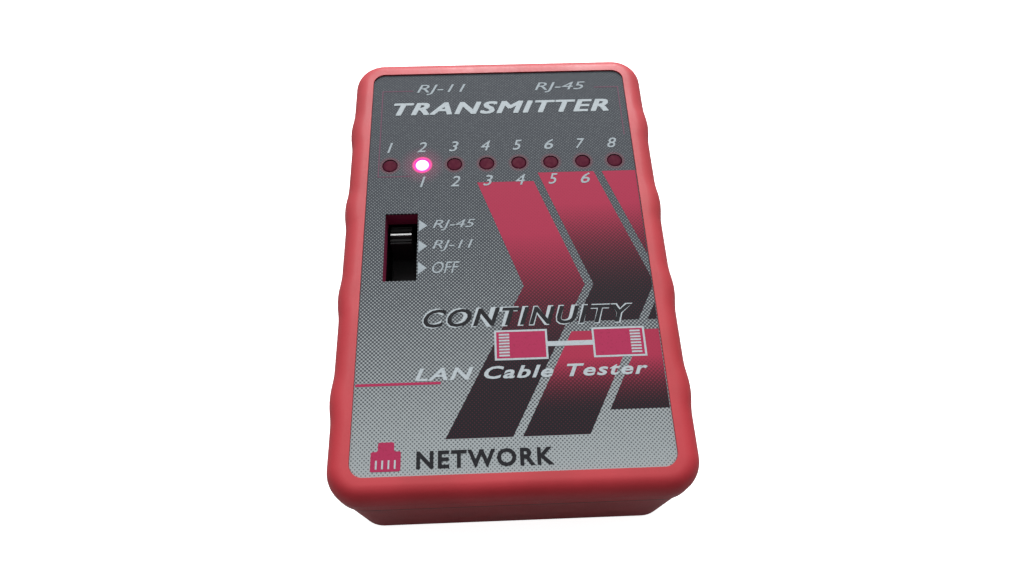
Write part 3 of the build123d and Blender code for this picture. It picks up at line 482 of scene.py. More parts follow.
@dataclass(frozen=True)
class ScreenedFilm:
    """Matt polyester overlay, printed in two greys through a dot screen: nearly solid dark grey at
    the socket end, opening to pale dots at the foot, with a fine matt tooth and a pink glow where
    light from the one lit lamp leaks through the film. Round every lamp hole the film is tinted a
    paler wine, painted light that lifts the shaded wall of the hole and the film beside it."""

    name: str
    ink: str
    paper: str
    solid_y: float
    open_y: float
    open_cover: float
    glow_spot: Spot
    glow: str
    row_pitch: float = 6.35
    # Painted light round every lamp hole: its paler wine colour, share and radii.
    painted_shading: str = "#6e3c48"
    ring_light_share: float = 0.6
    ring_light_r: Spot = (1.45, 2.35)
    glow_near: Spot = (1.5, 2.15)
    glow_far: Spot = (1.8, 5.0)
    glow_strength: float = 1.5
    haze_strength: float = 0.09
    solid_cover: float = 1.02
    curve: float = 2.15
    roughness: float = 0.68

    def material(self) -> bpy.types.Material:
        """Mixes the finish."""
        mix = Recipe(self.name)
        y_axis = mix.axes()[1]
        down = mix.add(
            "ShaderNodeMapRange",
            {"Value": y_axis, "From Min": self.solid_y * MM, "From Max": self.open_y * MM},
        )
        curved = mix.add("ShaderNodeMath", {0: down, 1: self.curve}, operation="POWER")
        cover = mix.add(
            "ShaderNodeMapRange",
            {"Value": curved, "To Min": self.solid_cover, "To Max": self.open_cover},
        )
        dots = Halftone().share(mix, cover)
        mottle = mix.add(
            "ShaderNodeMapRange",
            {
                "Value": mix.add("ShaderNodeTexNoise", mix.grit(0.5, 3.0)),
                **span(0.2, 0.8, -0.06, 0.06),
            },
            **SMOOTH,
        )
        share = mix.add("ShaderNodeMath", {0: dots, 1: mottle}, operation="ADD", use_clamp=True)
        lamp = (self.glow_spot[0] * MM, self.glow_spot[1] * MM, 27.7 * MM)
        reach = mix.add(
            "ShaderNodeVectorMath", {0: mix.place, 1: lamp}, operation="DISTANCE"
        ).outputs["Value"]
        low, high = (end * MM for end in self.glow_near)
        ring = mix.add(
            "ShaderNodeMapRange",
            {"Value": reach, **span(low, high, self.glow_strength, 0.0)},
            **SMOOTH,
        )
        low, high = (end * MM for end in self.glow_far)
        haze = mix.add(
            "ShaderNodeMapRange",
            {"Value": reach, **span(low, high, self.haze_strength, 0.0)},
            **SMOOTH,
        )
        leak = mix.add("ShaderNodeMath", {0: ring, 1: haze}, operation="ADD")
        # Painted light: a paler wine ring round every lamp hole lifts the shaded wall of the hole
        # and the film beside it.
        from_row = mix.add("ShaderNodeVectorMath", {0: mix.place, 1: lamp}, operation="SUBTRACT")
        cell = self.row_pitch * MM
        wrapped = mix.add(
            "ShaderNodeVectorMath",
            {0: from_row, 1: (cell / 2, 1.0, 1.0), 2: (-cell / 2, -1.0, -1.0)},
            operation="WRAP",
        )
        nearest = mix.add("ShaderNodeVectorMath", {0: wrapped}, operation="LENGTH").outputs["Value"]
        low, high = (end * MM for end in self.ring_light_r)
        lamp_ring_light = mix.add(
            "ShaderNodeMapRange",
            {"Value": nearest, **span(low, high, self.ring_light_share, 0.0)},
            **SMOOTH,
        )
        tooth = mix.add("ShaderNodeTexNoise", mix.grit(0.18, 2.0))
        return mix.finish(
            {
                "Base Color": mix.add(
                    "ShaderNodeMix",
                    {
                        "Factor": lamp_ring_light,
                        "A": mix.add(
                            "ShaderNodeMix",
                            {"Factor": share, "A": self.paper, "B": self.ink},
                            **COLOUR,
                        ),
                        "B": self.painted_shading,
                    },
                    **COLOUR,
                ),
                "Roughness": mix.add(
                    "ShaderNodeMapRange",
                    {
                        "Value": tooth,
                        **span(0.3, 0.7, self.roughness - 0.04, self.roughness + 0.06),
                    },
                    **SMOOTH,
                ),
                "IOR": 1.5,
                "Specular IOR Level": FILM_SHEEN,
                "Emission Color": self.glow,
                "Emission Strength": leak,
                "Normal": mix.add("ShaderNodeBump", {"Height": tooth, "Distance": 0.006 * MM}),
            }
        )


@dataclass(frozen=True)
class GradedInk:
    """Screen-printed ink under matt film that runs from one colour to another through growing
    dots."""

    name: str
    top: str
    foot: str
    top_y: float
    foot_y: float
    lean: float = 0.0
    dot_share: float = 0.45
    roughness: float = 0.68

    def material(self) -> bpy.types.Material:
        """Mixes the finish."""
        mix = Recipe(self.name)
        x_axis, y_axis = mix.axes()[:2]
        slope = mix.add("ShaderNodeMath", {0: x_axis, 1: self.lean}, operation="MULTIPLY")
        height = mix.add("ShaderNodeMath", {0: y_axis, 1: slope}, operation="SUBTRACT")
        even = mix.add(
            "ShaderNodeMapRange",
            {"Value": height, "From Min": self.top_y * MM, "From Max": self.foot_y * MM},
        )
        left = mix.add("ShaderNodeMath", {0: 1.0, 1: even}, operation="SUBTRACT")
        bright = mix.add("ShaderNodeMath", {0: left, 1: 2.0}, operation="POWER")
        cover = mix.add("ShaderNodeMath", {0: 1.0, 1: bright}, operation="SUBTRACT")
        dots = Halftone().share(mix, cover, 0.3)
        share = mix.add(
            "ShaderNodeMix", {"Factor": self.dot_share, "A": cover, "B": dots}, data_type="FLOAT"
        )
        tooth = mix.add("ShaderNodeTexNoise", mix.grit(0.18, 2.0))
        return mix.finish(
            {
                "Base Color": mix.add(
                    "ShaderNodeMix", {"Factor": share, "A": self.top, "B": self.foot}, **COLOUR
                ),
                "Roughness": mix.add(
                    "ShaderNodeMapRange",
                    {
                        "Value": tooth,
                        **span(0.3, 0.7, self.roughness - 0.04, self.roughness + 0.06),
                    },
                    **SMOOTH,
                ),
                "IOR": 1.5,
                "Specular IOR Level": FILM_SHEEN,
                "Normal": mix.add("ShaderNodeBump", {"Height": tooth, "Distance": 0.006 * MM}),
            }
        )


@dataclass(frozen=True)
class PlainInk:
    """One pass of screen ink under matt film: even, with pinholes where the mesh left it thin."""

    name: str
    colour: str
    thin: str
    pinhole_mm: float = 0.35

    def material(self) -> bpy.types.Material:
        """Mixes the finish."""
        mix = Recipe(self.name)
        thin = mix.add(
            "ShaderNodeMapRange",
            {
                "Value": mix.add("ShaderNodeTexNoise", mix.grit(self.pinhole_mm, 3.0)),
                **span(0.5, 0.78),
            },
            **SMOOTH,
        )
        tooth = mix.add("ShaderNodeTexNoise", mix.grit(0.18, 2.0))
        return mix.finish(
            {
                "Base Color": mix.add(
                    "ShaderNodeMix", {"Factor": thin, "A": self.colour, "B": self.thin}, **COLOUR
                ),
                "Roughness": mix.add(
                    "ShaderNodeMapRange", {"Value": tooth, **span(0.3, 0.7, 0.64, 0.74)}, **SMOOTH
                ),
                "IOR": 1.5,
                "Specular IOR Level": FILM_SHEEN,
                "Normal": mix.add("ShaderNodeBump", {"Height": tooth, "Distance": 0.006 * MM}),
            }
        )


@dataclass(frozen=True)
class CastEpoxy:
    """Red-tinted epoxy cast around an LED: dark wine colour, brighter over the die cup, a clear
    glossy skin, and for the lit one a hot pink-white core that falls to magenta at the rim. On the
    unlit ones the colour turns darker towards the rim, a painted shade of the dome's falling edge,
    and a faint glow in their own colour is painted light that lifts the dome's shade."""

    name: str
    colour: str
    rim: str
    cup: str
    pitch_mm: float
    row_y: float
    row_x: float = 0.14
    lit_x: float = 0.0
    core: str = "#ffffff"
    halo: str = "#ff1f8a"
    strength: float = 0.0
    # Strength of the painted glow that lifts the shade of the unlit lamps.
    painted_glow: float = 0.2

    def material(self) -> bpy.types.Material:
        """Mixes the finish."""
        mix = Recipe(self.name)
        x_axis, y_axis = mix.axes()[:2]
        if self.strength:
            across = mix.add(
                "ShaderNodeMath", {0: x_axis, 1: self.lit_x * MM}, operation="SUBTRACT"
            )
        else:
            across = mix.add(
                "ShaderNodeMath",
                {0: x_axis, 1: self.row_x * MM, 2: (self.row_x + self.pitch_mm) * MM},
                operation="WRAP",
            )
            across = mix.add(
                "ShaderNodeMath",
                {0: across, 1: (self.row_x + self.pitch_mm / 2) * MM},
                operation="SUBTRACT",
            )
        along = mix.add("ShaderNodeMath", {0: y_axis, 1: self.row_y * MM}, operation="SUBTRACT")
        flat = mix.add("ShaderNodeCombineXYZ", {"X": across, "Y": along})
        radius = mix.add("ShaderNodeVectorMath", {0: flat}, operation="LENGTH").outputs["Value"]
        # Towards the edge the lens takes the rim colour; on the unlit lamps this darker rim is
        # painted shade of the dome's falling edge.
        edge = mix.add(
            "ShaderNodeMapRange", {"Value": radius, **span(0.75 * MM, 1.45 * MM)}, **SMOOTH
        )
        streak = mix.add(
            "ShaderNodeMapRange",
            {"Value": mix.add("ShaderNodeTexNoise", mix.grit(0.7, 3.0)), **span(0.35, 0.65)},
            **SMOOTH,
        )
        body = mix.add(
            "ShaderNodeMix",
            {
                "Factor": edge,
                "A": mix.add(
                    "ShaderNodeMix", {"Factor": streak, "A": self.cup, "B": self.colour}, **COLOUR
                ),
                "B": self.rim,
            },
            **COLOUR,
        )
        inputs = {
            "Base Color": body,
            "Roughness": mix.add(
                "ShaderNodeMapRange", {"Value": streak, **span(0.0, 1.0, 0.5, 0.62)}, **SMOOTH
            ),
            "IOR": 1.54,
            "Specular IOR Level": 0.04,
        }
        if self.strength:
            inputs["Emission Color"] = mix.add(
                "ShaderNodeMix",
                {
                    "Factor": mix.add(
                        "ShaderNodeMapRange",
                        {"Value": radius, **span(0.8 * MM, 1.4 * MM)},
                        **SMOOTH,
                    ),
                    "A": self.core,
                    "B": self.halo,
                },
                **COLOUR,
            )
            inputs["Emission Strength"] = mix.add(
                "ShaderNodeMapRange",
                {"Value": radius, **span(0.9 * MM, 1.6 * MM, self.strength, self.strength * 0.5)},
                **SMOOTH,
            )
        else:
            # Painted light: an unlit lens glows faintly in its own colour, with no lamp behind it.
            inputs["Emission Color"] = body
            inputs["Emission Strength"] = self.painted_glow
        return mix.finish(inputs)


@dataclass(frozen=True)
class MaskedBoard:
    """Glass-epoxy circuit board under green solder mask: paler copper tracks beneath the lacquer,
    a woven-glass tooth, and a satin gloss."""

    name: str
    mask: str = "#0f4a2c"
    track: str = "#2c7a48"
    glass: str = "#b9a55e"
    weave_mm: float = 0.6

    def material(self) -> bpy.types.Material:
        """Mixes the finish."""
        mix = Recipe(self.name)
        cells = mix.add(
            "ShaderNodeTexVoronoi",
            {"Vector": mix.place, "Scale": 1 / (3.2 * MM), "Randomness": 0.55},
            feature="DISTANCE_TO_EDGE",
            distance="MANHATTAN",
        )
        tracks = mix.add(
            "ShaderNodeMapRange", {"Value": cells, **span(0.09, 0.13, 1.0, 0.0)}, **SMOOTH
        )
        weave = mix.add(
            "ShaderNodeTexWave",
            {"Vector": mix.place, "Scale": 0.5 / (self.weave_mm * MM), "Distortion": 1.0},
        )
        green = mix.add(
            "ShaderNodeMix", {"Factor": tracks, "A": self.mask, "B": self.track}, **COLOUR
        )
        return mix.finish(
            {
                "Base Color": mix.add(
                    "ShaderNodeMix",
                    {
                        "Factor": mix.add(
                            "ShaderNodeMapRange",
                            {"Value": weave, **span(0.85, 1.0, 0.0, 0.12)},
                            **SMOOTH,
                        ),
                        "A": green,
                        "B": self.glass,
                    },
                    **COLOUR,
                ),
                "Roughness": mix.add(
                    "ShaderNodeMapRange", {"Value": weave, **span(0.0, 1.0, 0.26, 0.36)}, **SMOOTH
                ),
                "Normal": mix.add(
                    "ShaderNodeBump",
                    {
                        "Height": mix.add(
                            "ShaderNodeMix",
                            {"Factor": tracks, "A": "#000000", "B": "#ffffff"},
                            **COLOUR,
                        ),
                        "Distance": 0.03 * MM,
                    },
                ),
            }
        )


@dataclass(frozen=True)
class PrintedJacket:
    """Lacquered and printed steel jacket of a nine volt battery: a dark body with a copper-gold
    shoulder band, a pale line printed along the band's edge, and scuffs scattered over it."""

    name: str
    body: str = "#17191d"
    band: str = "#a8743a"
    line: str = "#c9c4b6"
    band_x: float = 9.0
    line_w: float = 0.5

    def material(self) -> bpy.types.Material:
        """Mixes the finish."""
        mix = Recipe(self.name)
        x_axis = mix.axes()[0]
        edge = self.band_x * MM
        band = mix.add(
            "ShaderNodeMapRange",
            {"Value": x_axis, **span(edge - 0.05 * MM, edge + 0.05 * MM)},
            **SMOOTH,
        )
        past = mix.add("ShaderNodeMath", {0: x_axis, 1: edge}, operation="SUBTRACT")
        near = mix.add("ShaderNodeMath", {0: past}, operation="ABSOLUTE")
        line = mix.add(
            "ShaderNodeMapRange",
            {"Value": near, **span(self.line_w * MM * 0.5, self.line_w * MM * 0.6, 1.0, 0.0)},
            **SMOOTH,
        )
        scuff = mix.add(
            "ShaderNodeMapRange",
            {
                "Value": mix.add("ShaderNodeTexNoise", mix.grit(1.4, 6.0)),
                **span(0.66, 0.72, 0.0, 0.5),
            },
            **SMOOTH,
        )
        print_colour = mix.add(
            "ShaderNodeMix",
            {
                "Factor": line,
                "A": mix.add(
                    "ShaderNodeMix", {"Factor": band, "A": self.body, "B": self.band}, **COLOUR
                ),
                "B": self.line,
            },
            **COLOUR,
        )
        return mix.finish(
            {
                "Base Color": mix.add(
                    "ShaderNodeMix", {"Factor": scuff, "A": print_colour, "B": "#8c8a84"}, **COLOUR
                ),
                "Metallic": 0.35,
                "Roughness": mix.add(
                    "ShaderNodeMapRange",
                    {
                        "Value": mix.add("ShaderNodeTexNoise", mix.grit(0.3, 3.0)),
                        **span(0.3, 0.7, 0.24, 0.4),
                    },
                    **SMOOTH,
                ),
                "Coat Weight": 0.3,
                "Coat Roughness": 0.2,
            }
        )


@dataclass(frozen=True)
class OpenCellFoam:
    """Die-cut open-cell foam: dull dark grey, pitted by cells about half a millimetre across."""

    name: str
    colour: str = "#35363a"
    pit: str = "#141517"
    cell_mm: float = 0.55

    def material(self) -> bpy.types.Material:
        """Mixes the finish."""
        mix = Recipe(self.name)
        cells = mix.add(
            "ShaderNodeTexVoronoi", {"Vector": mix.place, "Scale": 1 / (self.cell_mm * MM)}
        )
        pits = mix.add(
            "ShaderNodeMapRange", {"Value": cells, **span(0.1, 0.55, 1.0, 0.0)}, **SMOOTH
        )
        return mix.finish(
            {
                "Base Color": mix.add(
                    "ShaderNodeMix", {"Factor": pits, "A": self.colour, "B": self.pit}, **COLOUR
                ),
                "Roughness": mix.add(
                    "ShaderNodeMapRange", {"Value": pits, **span(0.0, 1.0, 0.92, 1.0)}, **SMOOTH
                ),
                "Normal": mix.add("ShaderNodeBump", {"Height": cells, "Distance": 0.25 * MM}),
            }
        )


@dataclass(frozen=True)
class BandedCoat:
    """Dipped resistor lacquer: beige with painted colour bands across the body."""

    name: str
    row_y: float
    coat: str = "#c9a878"
    bands: tuple = ((-1.5, "#8a3a1c"), (-0.6, "#1c1c1c"), (0.3, "#c8641e"), (1.5, "#b08a3a"))
    band_w: float = 0.45

    def material(self) -> bpy.types.Material:
        """Mixes the finish."""
        mix = Recipe(self.name)
        y_axis = mix.axes()[1]
        colour = mix.add(
            "ShaderNodeMix",
            {
                "Factor": mix.add("ShaderNodeTexNoise", mix.grit(0.8, 3.0)),
                "A": self.coat,
                "B": "#b8945f",
            },
            **COLOUR,
        )
        for offset, paint in self.bands:
            centre = (self.row_y + offset) * MM
            past = mix.add("ShaderNodeMath", {0: y_axis, 1: centre}, operation="SUBTRACT")
            near = mix.add("ShaderNodeMath", {0: past}, operation="ABSOLUTE")
            share = mix.add(
                "ShaderNodeMapRange",
                {
                    "Value": near,
                    **span(self.band_w * MM / 2, self.band_w * MM / 2 + 0.04 * MM, 1.0, 0.0),
                },
                **SMOOTH,
            )
            colour = mix.add("ShaderNodeMix", {"Factor": share, "A": colour, "B": paint}, **COLOUR)
        rough = mix.add(
            "ShaderNodeMapRange",
            {
                "Value": mix.add("ShaderNodeTexNoise", mix.grit(0.3, 2.0)),
                **span(0.3, 0.7, 0.22, 0.34),
            },
            **SMOOTH,
        )
        return mix.finish({"Base Color": colour, "Roughness": rough, "IOR": 1.5})


@dataclass(frozen=True)
class LampedGlass:
    """A small-signal diode's drawn glass: amber and glossy, turned black in patches where a coarse
    noise passes a threshold, which stands in for the cathode band.
    """

    name: str
    glass: str = "#b5502a"
    band: str = "#101012"
    pitch_mm: float = 3.8

    def material(self) -> bpy.types.Material:
        """Mixes the finish."""
        mix = Recipe(self.name)
        band = mix.add(
            "ShaderNodeMapRange",
            {
                "Value": mix.add("ShaderNodeTexNoise", mix.grit(self.pitch_mm, 0.0)),
                **span(0.56, 0.58),
            },
            **SMOOTH,
        )
        return mix.finish(
            {
                "Base Color": mix.add(
                    "ShaderNodeMix", {"Factor": band, "A": self.glass, "B": self.band}, **COLOUR
                ),
                "Roughness": mix.add(
                    "ShaderNodeMapRange",
                    {
                        "Value": mix.add("ShaderNodeTexNoise", mix.grit(0.4, 2.0)),
                        **span(0.3, 0.7, 0.05, 0.12),
                    },
                    **SMOOTH,
                ),
                "IOR": 1.5,
                "Coat Weight": 0.5,
                "Coat Roughness": 0.05,
            }
        )


@dataclass(frozen=True)
class ShrinkSleeve:
    """Heat-shrunk sleeve on an electrolytic can: near-black blue film with a pale minus stripe."""

    name: str
    stripe_x: float
    sleeve: str = "#14213a"
    stripe: str = "#aeb4ba"

    def material(self) -> bpy.types.Material:
        """Mixes the finish."""
        mix = Recipe(self.name)
        x_axis = mix.axes()[0]
        past = mix.add("ShaderNodeMath", {0: x_axis, 1: self.stripe_x * MM}, operation="SUBTRACT")
        share = mix.add(
            "ShaderNodeMapRange", {"Value": past, **span(-0.05 * MM, 0.05 * MM)}, **SMOOTH
        )
        return mix.finish(
            {
                "Base Color": mix.add(
                    "ShaderNodeMix", {"Factor": share, "A": self.sleeve, "B": self.stripe}, **COLOUR
                ),
                "Roughness": mix.add(
                    "ShaderNodeMapRange",
                    {
                        "Value": mix.add("ShaderNodeTexNoise", mix.grit(0.6, 3.0)),
                        **span(0.3, 0.7, 0.2, 0.32),
                    },
                    **SMOOTH,
                ),
                "Normal": mix.add(
                    "ShaderNodeBump",
                    {
                        "Height": mix.add("ShaderNodeTexNoise", mix.grit(1.2, 2.0)),
                        "Distance": 0.02 * MM,
                    },
                ),
            }
        )


# ---------------------------------------------------------------- pieces
def make_piece(
    name: str, shape: bmesh.types.BMesh, material: bpy.types.Material, body: Body
) -> bpy.types.Object:
    """Turns a finished shape to a piece that rides on a body.

    Args:
        name: The piece's name.
        shape: The shape, placed in the frame. It is freed.
        material: The piece's material.
        body: The body that it moves with.

    Returns:
        The new object.
    """
    mesh = bpy.data.meshes.new(name)
    shape.to_mesh(mesh)
    shape.free()
    mesh.materials.append(material)
    piece = bpy.data.objects.new(name, mesh)
    bpy.context.scene.collection.objects.link(piece)
    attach(piece, body.value)
    LOG.info("%s: %d faces on %s", name, len(mesh.polygons), body.value)
    return piece


def dress_node(
    node: str, material: bpy.types.Material, body: Body
) -> bpy.types.Object:
    """Stands a welded, smooth-shaded copy in for a CAD node.

    Args:
        node: The CAD node's name.
        material: The finish that both get.
        body: The node's body.

    Returns:
        The copy.
    """
    source = bpy.data.objects[node]
    source.data.materials.clear()
    source.data.materials.append(material)
    shape = bmesh.new()
    shape.from_mesh(source.data)
    bmesh.ops.remove_doubles(shape, verts=shape.verts, dist=WELD)
    limit = math.radians(SHARP_DEGREES)
    for face in shape.faces:
        face.smooth = True
        face.material_index = 0
    for edge in shape.edges:
        edge.smooth = edge.is_manifold and edge.calc_face_angle(0.0) < limit
    copy = make_piece(f"{node}_skin", shape, material, body)
    normals = copy.modifiers.new("face_weighted_normals", "WEIGHTED_NORMAL")
    normals.keep_sharp = True
    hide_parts(node)
    return copy


@dataclass
class Shells:
    """The two halves of the case and the screws that hold them."""

    red: SparkTexturedAbs = SparkTexturedAbs("spark_textured_red_abs", "#b42b36", "#aa2630")
    rear_red: SparkTexturedAbs = SparkTexturedAbs(
        "spark_textured_red_abs_rear", "#a9343c", "#9f2e36"
    )
    zinc: PlatedMetal = PlatedMetal("zinc_plated_steel", "#a9adb2", "#8b8e90")

    def build(self) -> None:
        """Dresses the shells and screws."""
        dress_node("front_shell", self.red.material(), Body.CASE)
        rear = self.rear_red.material()
        dress_node("rear_shell", rear, Body.CASE)
        dress_node("battery_door", rear, Body.DOOR)
        zinc = self.zinc.material()
        dress_node("case_screws", zinc, Body.CASE)
        dress_node("board_screws", zinc, Body.CASE)


class Layer(Enum):
    """How far each pass of ink stands on the film, in millimetres, so that no two lie level."""

    SHAPE = 0.015
    RULE = 0.025
    OUTLINE = 0.03
    BADGE = 0.04
    HALO = 0.05
    WORD = 0.06


@dataclass
class FaceLabel:
    """The printed overlay sunk in the face: its film, three chevrons, rules, marks and words."""

    top_z: float = 27.7
    edge_x: float = 26.15
    gap_high: float = -16.3
    gap_low: float = -18.2
    tracking: float = 6.0
    strike_lift: float = 0.002
    chevron_w: float = 11.0
    chevron_pitch: float = 12.6
    chevron_points: tuple = ((-5.7, 16.0), (3.0, -9.0), (-11.0, -36.5))
    chevron_ends: tuple = ((14.0, -36.5), (16.0, -36.5), (16.0, -32.5))
    rule_w: float = 0.22
    bracket: Extent = (-24.4, 25.1, 37.9, 16.0)
    left_reach: float = -18.0
    right_reach: float = 20.0
    right_foot: float = 25.0
    short_rule: Extent = (-26.1, -11.8, -27.1, -26.65)
    lean: float = 0.28
    heads: tuple = (
        ("rj11", "RJ-11", (-17.2, -7.0, 36.6, 39.4)),
        ("rj45", "RJ-45", (7.5, 18.2, 36.6, 39.4)),
    )
    title: Extent = (-21.65, 22.35, 31.3, 34.4)
    title_strikes: tuple = ((-0.2, -0.1), (0.2, -0.1), (-0.2, 0.1), (0.2, 0.1))
    title_spacing: float = 0.13
    number_row: Spot = (21.7, 24.2)
    pair_row: Spot = (13.2, 15.7)
    pair_shift: float = 0.3
    digit_weight: float = 0.008
    digit_halves: Spot = (0.55, 0.95)
    positions: tuple = (
        ("rj45", "RJ-45", -5.5, 3.2),
        ("rj11", "RJ-11", -6.0, -1.3),
        ("off", "OFF", -8.5, -5.9),
    )
    position_x: float = -13.5
    position_h: float = 2.4
    pointer_x: Spot = (-16.1, -14.5)
    pointer_half: float = 1.3
    purpose: Extent = (-14.9, 22.0, -16.7, -13.2)
    halo_grow: float = 0.2
    halo_weight: float = 0.055
    purpose_weight: float = 0.018
    kind: Extent = (-16.2, 23.4, -26.5, -24.2)
    kind_weight: float = 0.025
    network: Extent = (-15.6, 6.4, -41.2, -38.3)
    network_weight: float = 0.03
    plugs: tuple = (("left", -2.6, 6.6, 0.8), ("right", 14.4, 23.6, 6.6))
    plug_y: Spot = (-23.2, -17.6)
    plug_wall: float = 0.35
    contact_count: int = 8
    contact_inset: float = 0.85
    contact_l: float = 1.8
    contact_half: float = 0.16
    lead_half: float = 0.45
    badge: tuple = (
        (-22.9, -41.4),
        (-18.1, -41.4),
        (-18.1, -38.2),
        (-19.2, -38.2),
        (-19.2, -36.7),
        (-21.8, -36.7),
        (-21.8, -38.2),
        (-22.9, -38.2),
    )
    badge_rounding: float = 0.3
    badge_pins: tuple = (-22.0, -21.0, -20.0, -19.0)
    badge_pin_half: float = 0.14
    badge_pin_y: Spot = (-41.0, -39.6)
    lamp_xs: tuple = tuple((i - 3.5) * 6.35 for i in range(8))
    lit_lamp: Spot = (-15.735, 18.57)

    def __post_init__(self) -> None:
        """Mixes the inks."""
        self.film = ScreenedFilm(
            "screened_matt_polyester",
            "#3e4248",
            "#989fa1",
            solid_y=44.0,
            open_y=-42.0,
            open_cover=0.2,
            glow_spot=self.lit_lamp,
            glow="#ff2a90",
        ).material()
        crimson, charcoal = "#9c2c47", "#1c191f"
        self.first_ink = GradedInk("crimson_fading_ink", crimson, charcoal, 2.0, -26.0).material()
        self.upper_ink = GradedInk(
            "crimson_fading_ink_upper", crimson, charcoal, 8.5, -12.0
        ).material()
        self.lower_ink = GradedInk(
            "crimson_fading_ink_lower", crimson, charcoal, -23.0, -33.0
        ).material()
        self.pale = PlainInk("pale_grey_ink", "#a9b2b7", "#929ba1").material()
        self.light = PlainInk("light_grey_ink", "#98a2a8", "#7f898f").material()
        self.dark = PlainInk("charcoal_ink", "#1d1d21", "#2b2c30").material()
        self.crimson = PlainInk("crimson_ink", "#a02b50", "#8c2645").material()
        self.rule = PlainInk("dull_pink_ink", "#674858", "#584551").material()

    def build(self) -> None:
        """Builds the film and every printed mark."""
        dress_node("front_label", self.film, Body.CASE)
        self.chevrons()
        self.rules()
        self.words()
        self.socket_marks()
        self.plug_mark()

    def print_shape(
        self,
        name: str,
        points: Sequence[Spot],
        ink: bpy.types.Material,
        layer: Layer = Layer.SHAPE,
        rounding: float = 0.0,
    ) -> bpy.types.Object:
        """A printed patch with straight or rounded outline.

        Args:
            name: The piece's name.
            points: The outline, in order, in millimetres.
            ink: The patch's material.
            layer: The pass that it is printed in.
            rounding: The radius given to every corner.

        Returns:
            The piece.
        """
        shape = bmesh.new()
        verts = [shape.verts.new((x * MM, y * MM, self.top_z * MM)) for x, y in points]
        shape.faces.new(verts)
        return self.print_flat(name, shape, ink, layer, rounding)

    def print_flat(
        self,
        name: str,
        shape: bmesh.types.BMesh,
        ink: bpy.types.Material,
        layer: Layer = Layer.SHAPE,
        rounding: float = 0.0,
    ) -> bpy.types.Object:
        """Gives a flat outline its ink thickness and makes it a piece.

        Args:
            name: The piece's name.
            shape: Flat faces on the label's top. It is freed.
            ink: The patch's material.
            layer: The pass that it is printed in.
            rounding: The radius given to every corner.

        Returns:
            The piece.
        """
        if rounding:
            bmesh.ops.bevel(
                shape,
                geom=shape.verts[:],
                offset=rounding * MM,
                segments=5,
                profile=0.5,
                affect="VERTICES",
                material=-1,
            )
        grown = bmesh.ops.extrude_face_region(shape, geom=shape.faces[:])
        raised = [v for v in grown["geom"] if isinstance(v, bmesh.types.BMVert)]
        lift = (0.0, 0.0, layer.value * MM)
        bmesh.ops.translate(shape, verts=raised, vec=lift)
        bmesh.ops.recalc_face_normals(shape, faces=shape.faces)
        return make_piece(name, shape, ink, Body.CASE)

    def chevrons(self) -> None:
        """Prints three chevrons that point right, cut off by the label's edge and a pale gap."""
        for index, (top_y, foot_y) in enumerate(self.chevron_ends):
            shift = index * self.chevron_pitch
            bands = (
                ((top_y, foot_y, self.first_ink, "print_chevron_first"),)
                if index == 0
                else (
                    (top_y, self.gap_high, self.upper_ink, f"print_chevron_upper_{index}"),
                    (self.gap_low, foot_y, self.lower_ink, f"print_chevron_lower_{index}"),
                )
            )
            for high, low, ink, name in bands:
                self.chevron_band(name, shift, high, low, ink)

    def chevron_band(
        self, name: str, shift: float, high: float, low: float, ink: bpy.types.Material
    ) -> None:
        """Prints one chevron between two heights.

        Args:
            name: The piece's name.
            shift: How far right of the first chevron it stands.
            high: The height that it starts at.
            low: The height that it ends at.
            ink: Its material.
        """
        left = [(x + shift, y) for x, y in self.chevron_points]
        right = [(x + self.chevron_w, y) for x, y in reversed(left)]
        shape = bmesh.new()
        verts = [shape.verts.new((x * MM, y * MM, self.top_z * MM)) for x, y in left + right]
        shape.faces.new(verts)
        cuts = (
            ((0, high, 0), (0, 1, 0)),
            ((0, low, 0), (0, -1, 0)),
            ((self.edge_x, 0, 0), (1, 0, 0)),
        )
        for point, normal in cuts:
            everything = shape.verts[:] + shape.edges[:] + shape.faces[:]
            bmesh.ops.bisect_plane(
                shape,
                geom=everything,
                plane_co=Vector(point) * MM,
                plane_no=normal,
                clear_outer=True,
            )
        self.print_flat(name, shape, ink)

    def rules(self) -> None:
        """Prints the thin bracket lines around the lamps and the short crimson line."""
        w = self.rule_w
        left, right, top, foot = self.bracket
        lines = {
            "left_top": (left, self.left_reach, top - w, top),
            "left_side": (left, left + w, foot, top - w),
            "left_foot": (left, self.left_reach, foot - w, foot),
            "right_top": (self.right_reach, right, top - w, top),
            "right_side": (right - w, right, self.right_foot, top - w),
        }
        for name, extent in lines.items():
            self.frame_patch(f"print_rule_{name}", *extent, self.rule, Layer.RULE)
        self.frame_patch("print_rule_crimson", *self.short_rule, self.crimson, Layer.RULE)

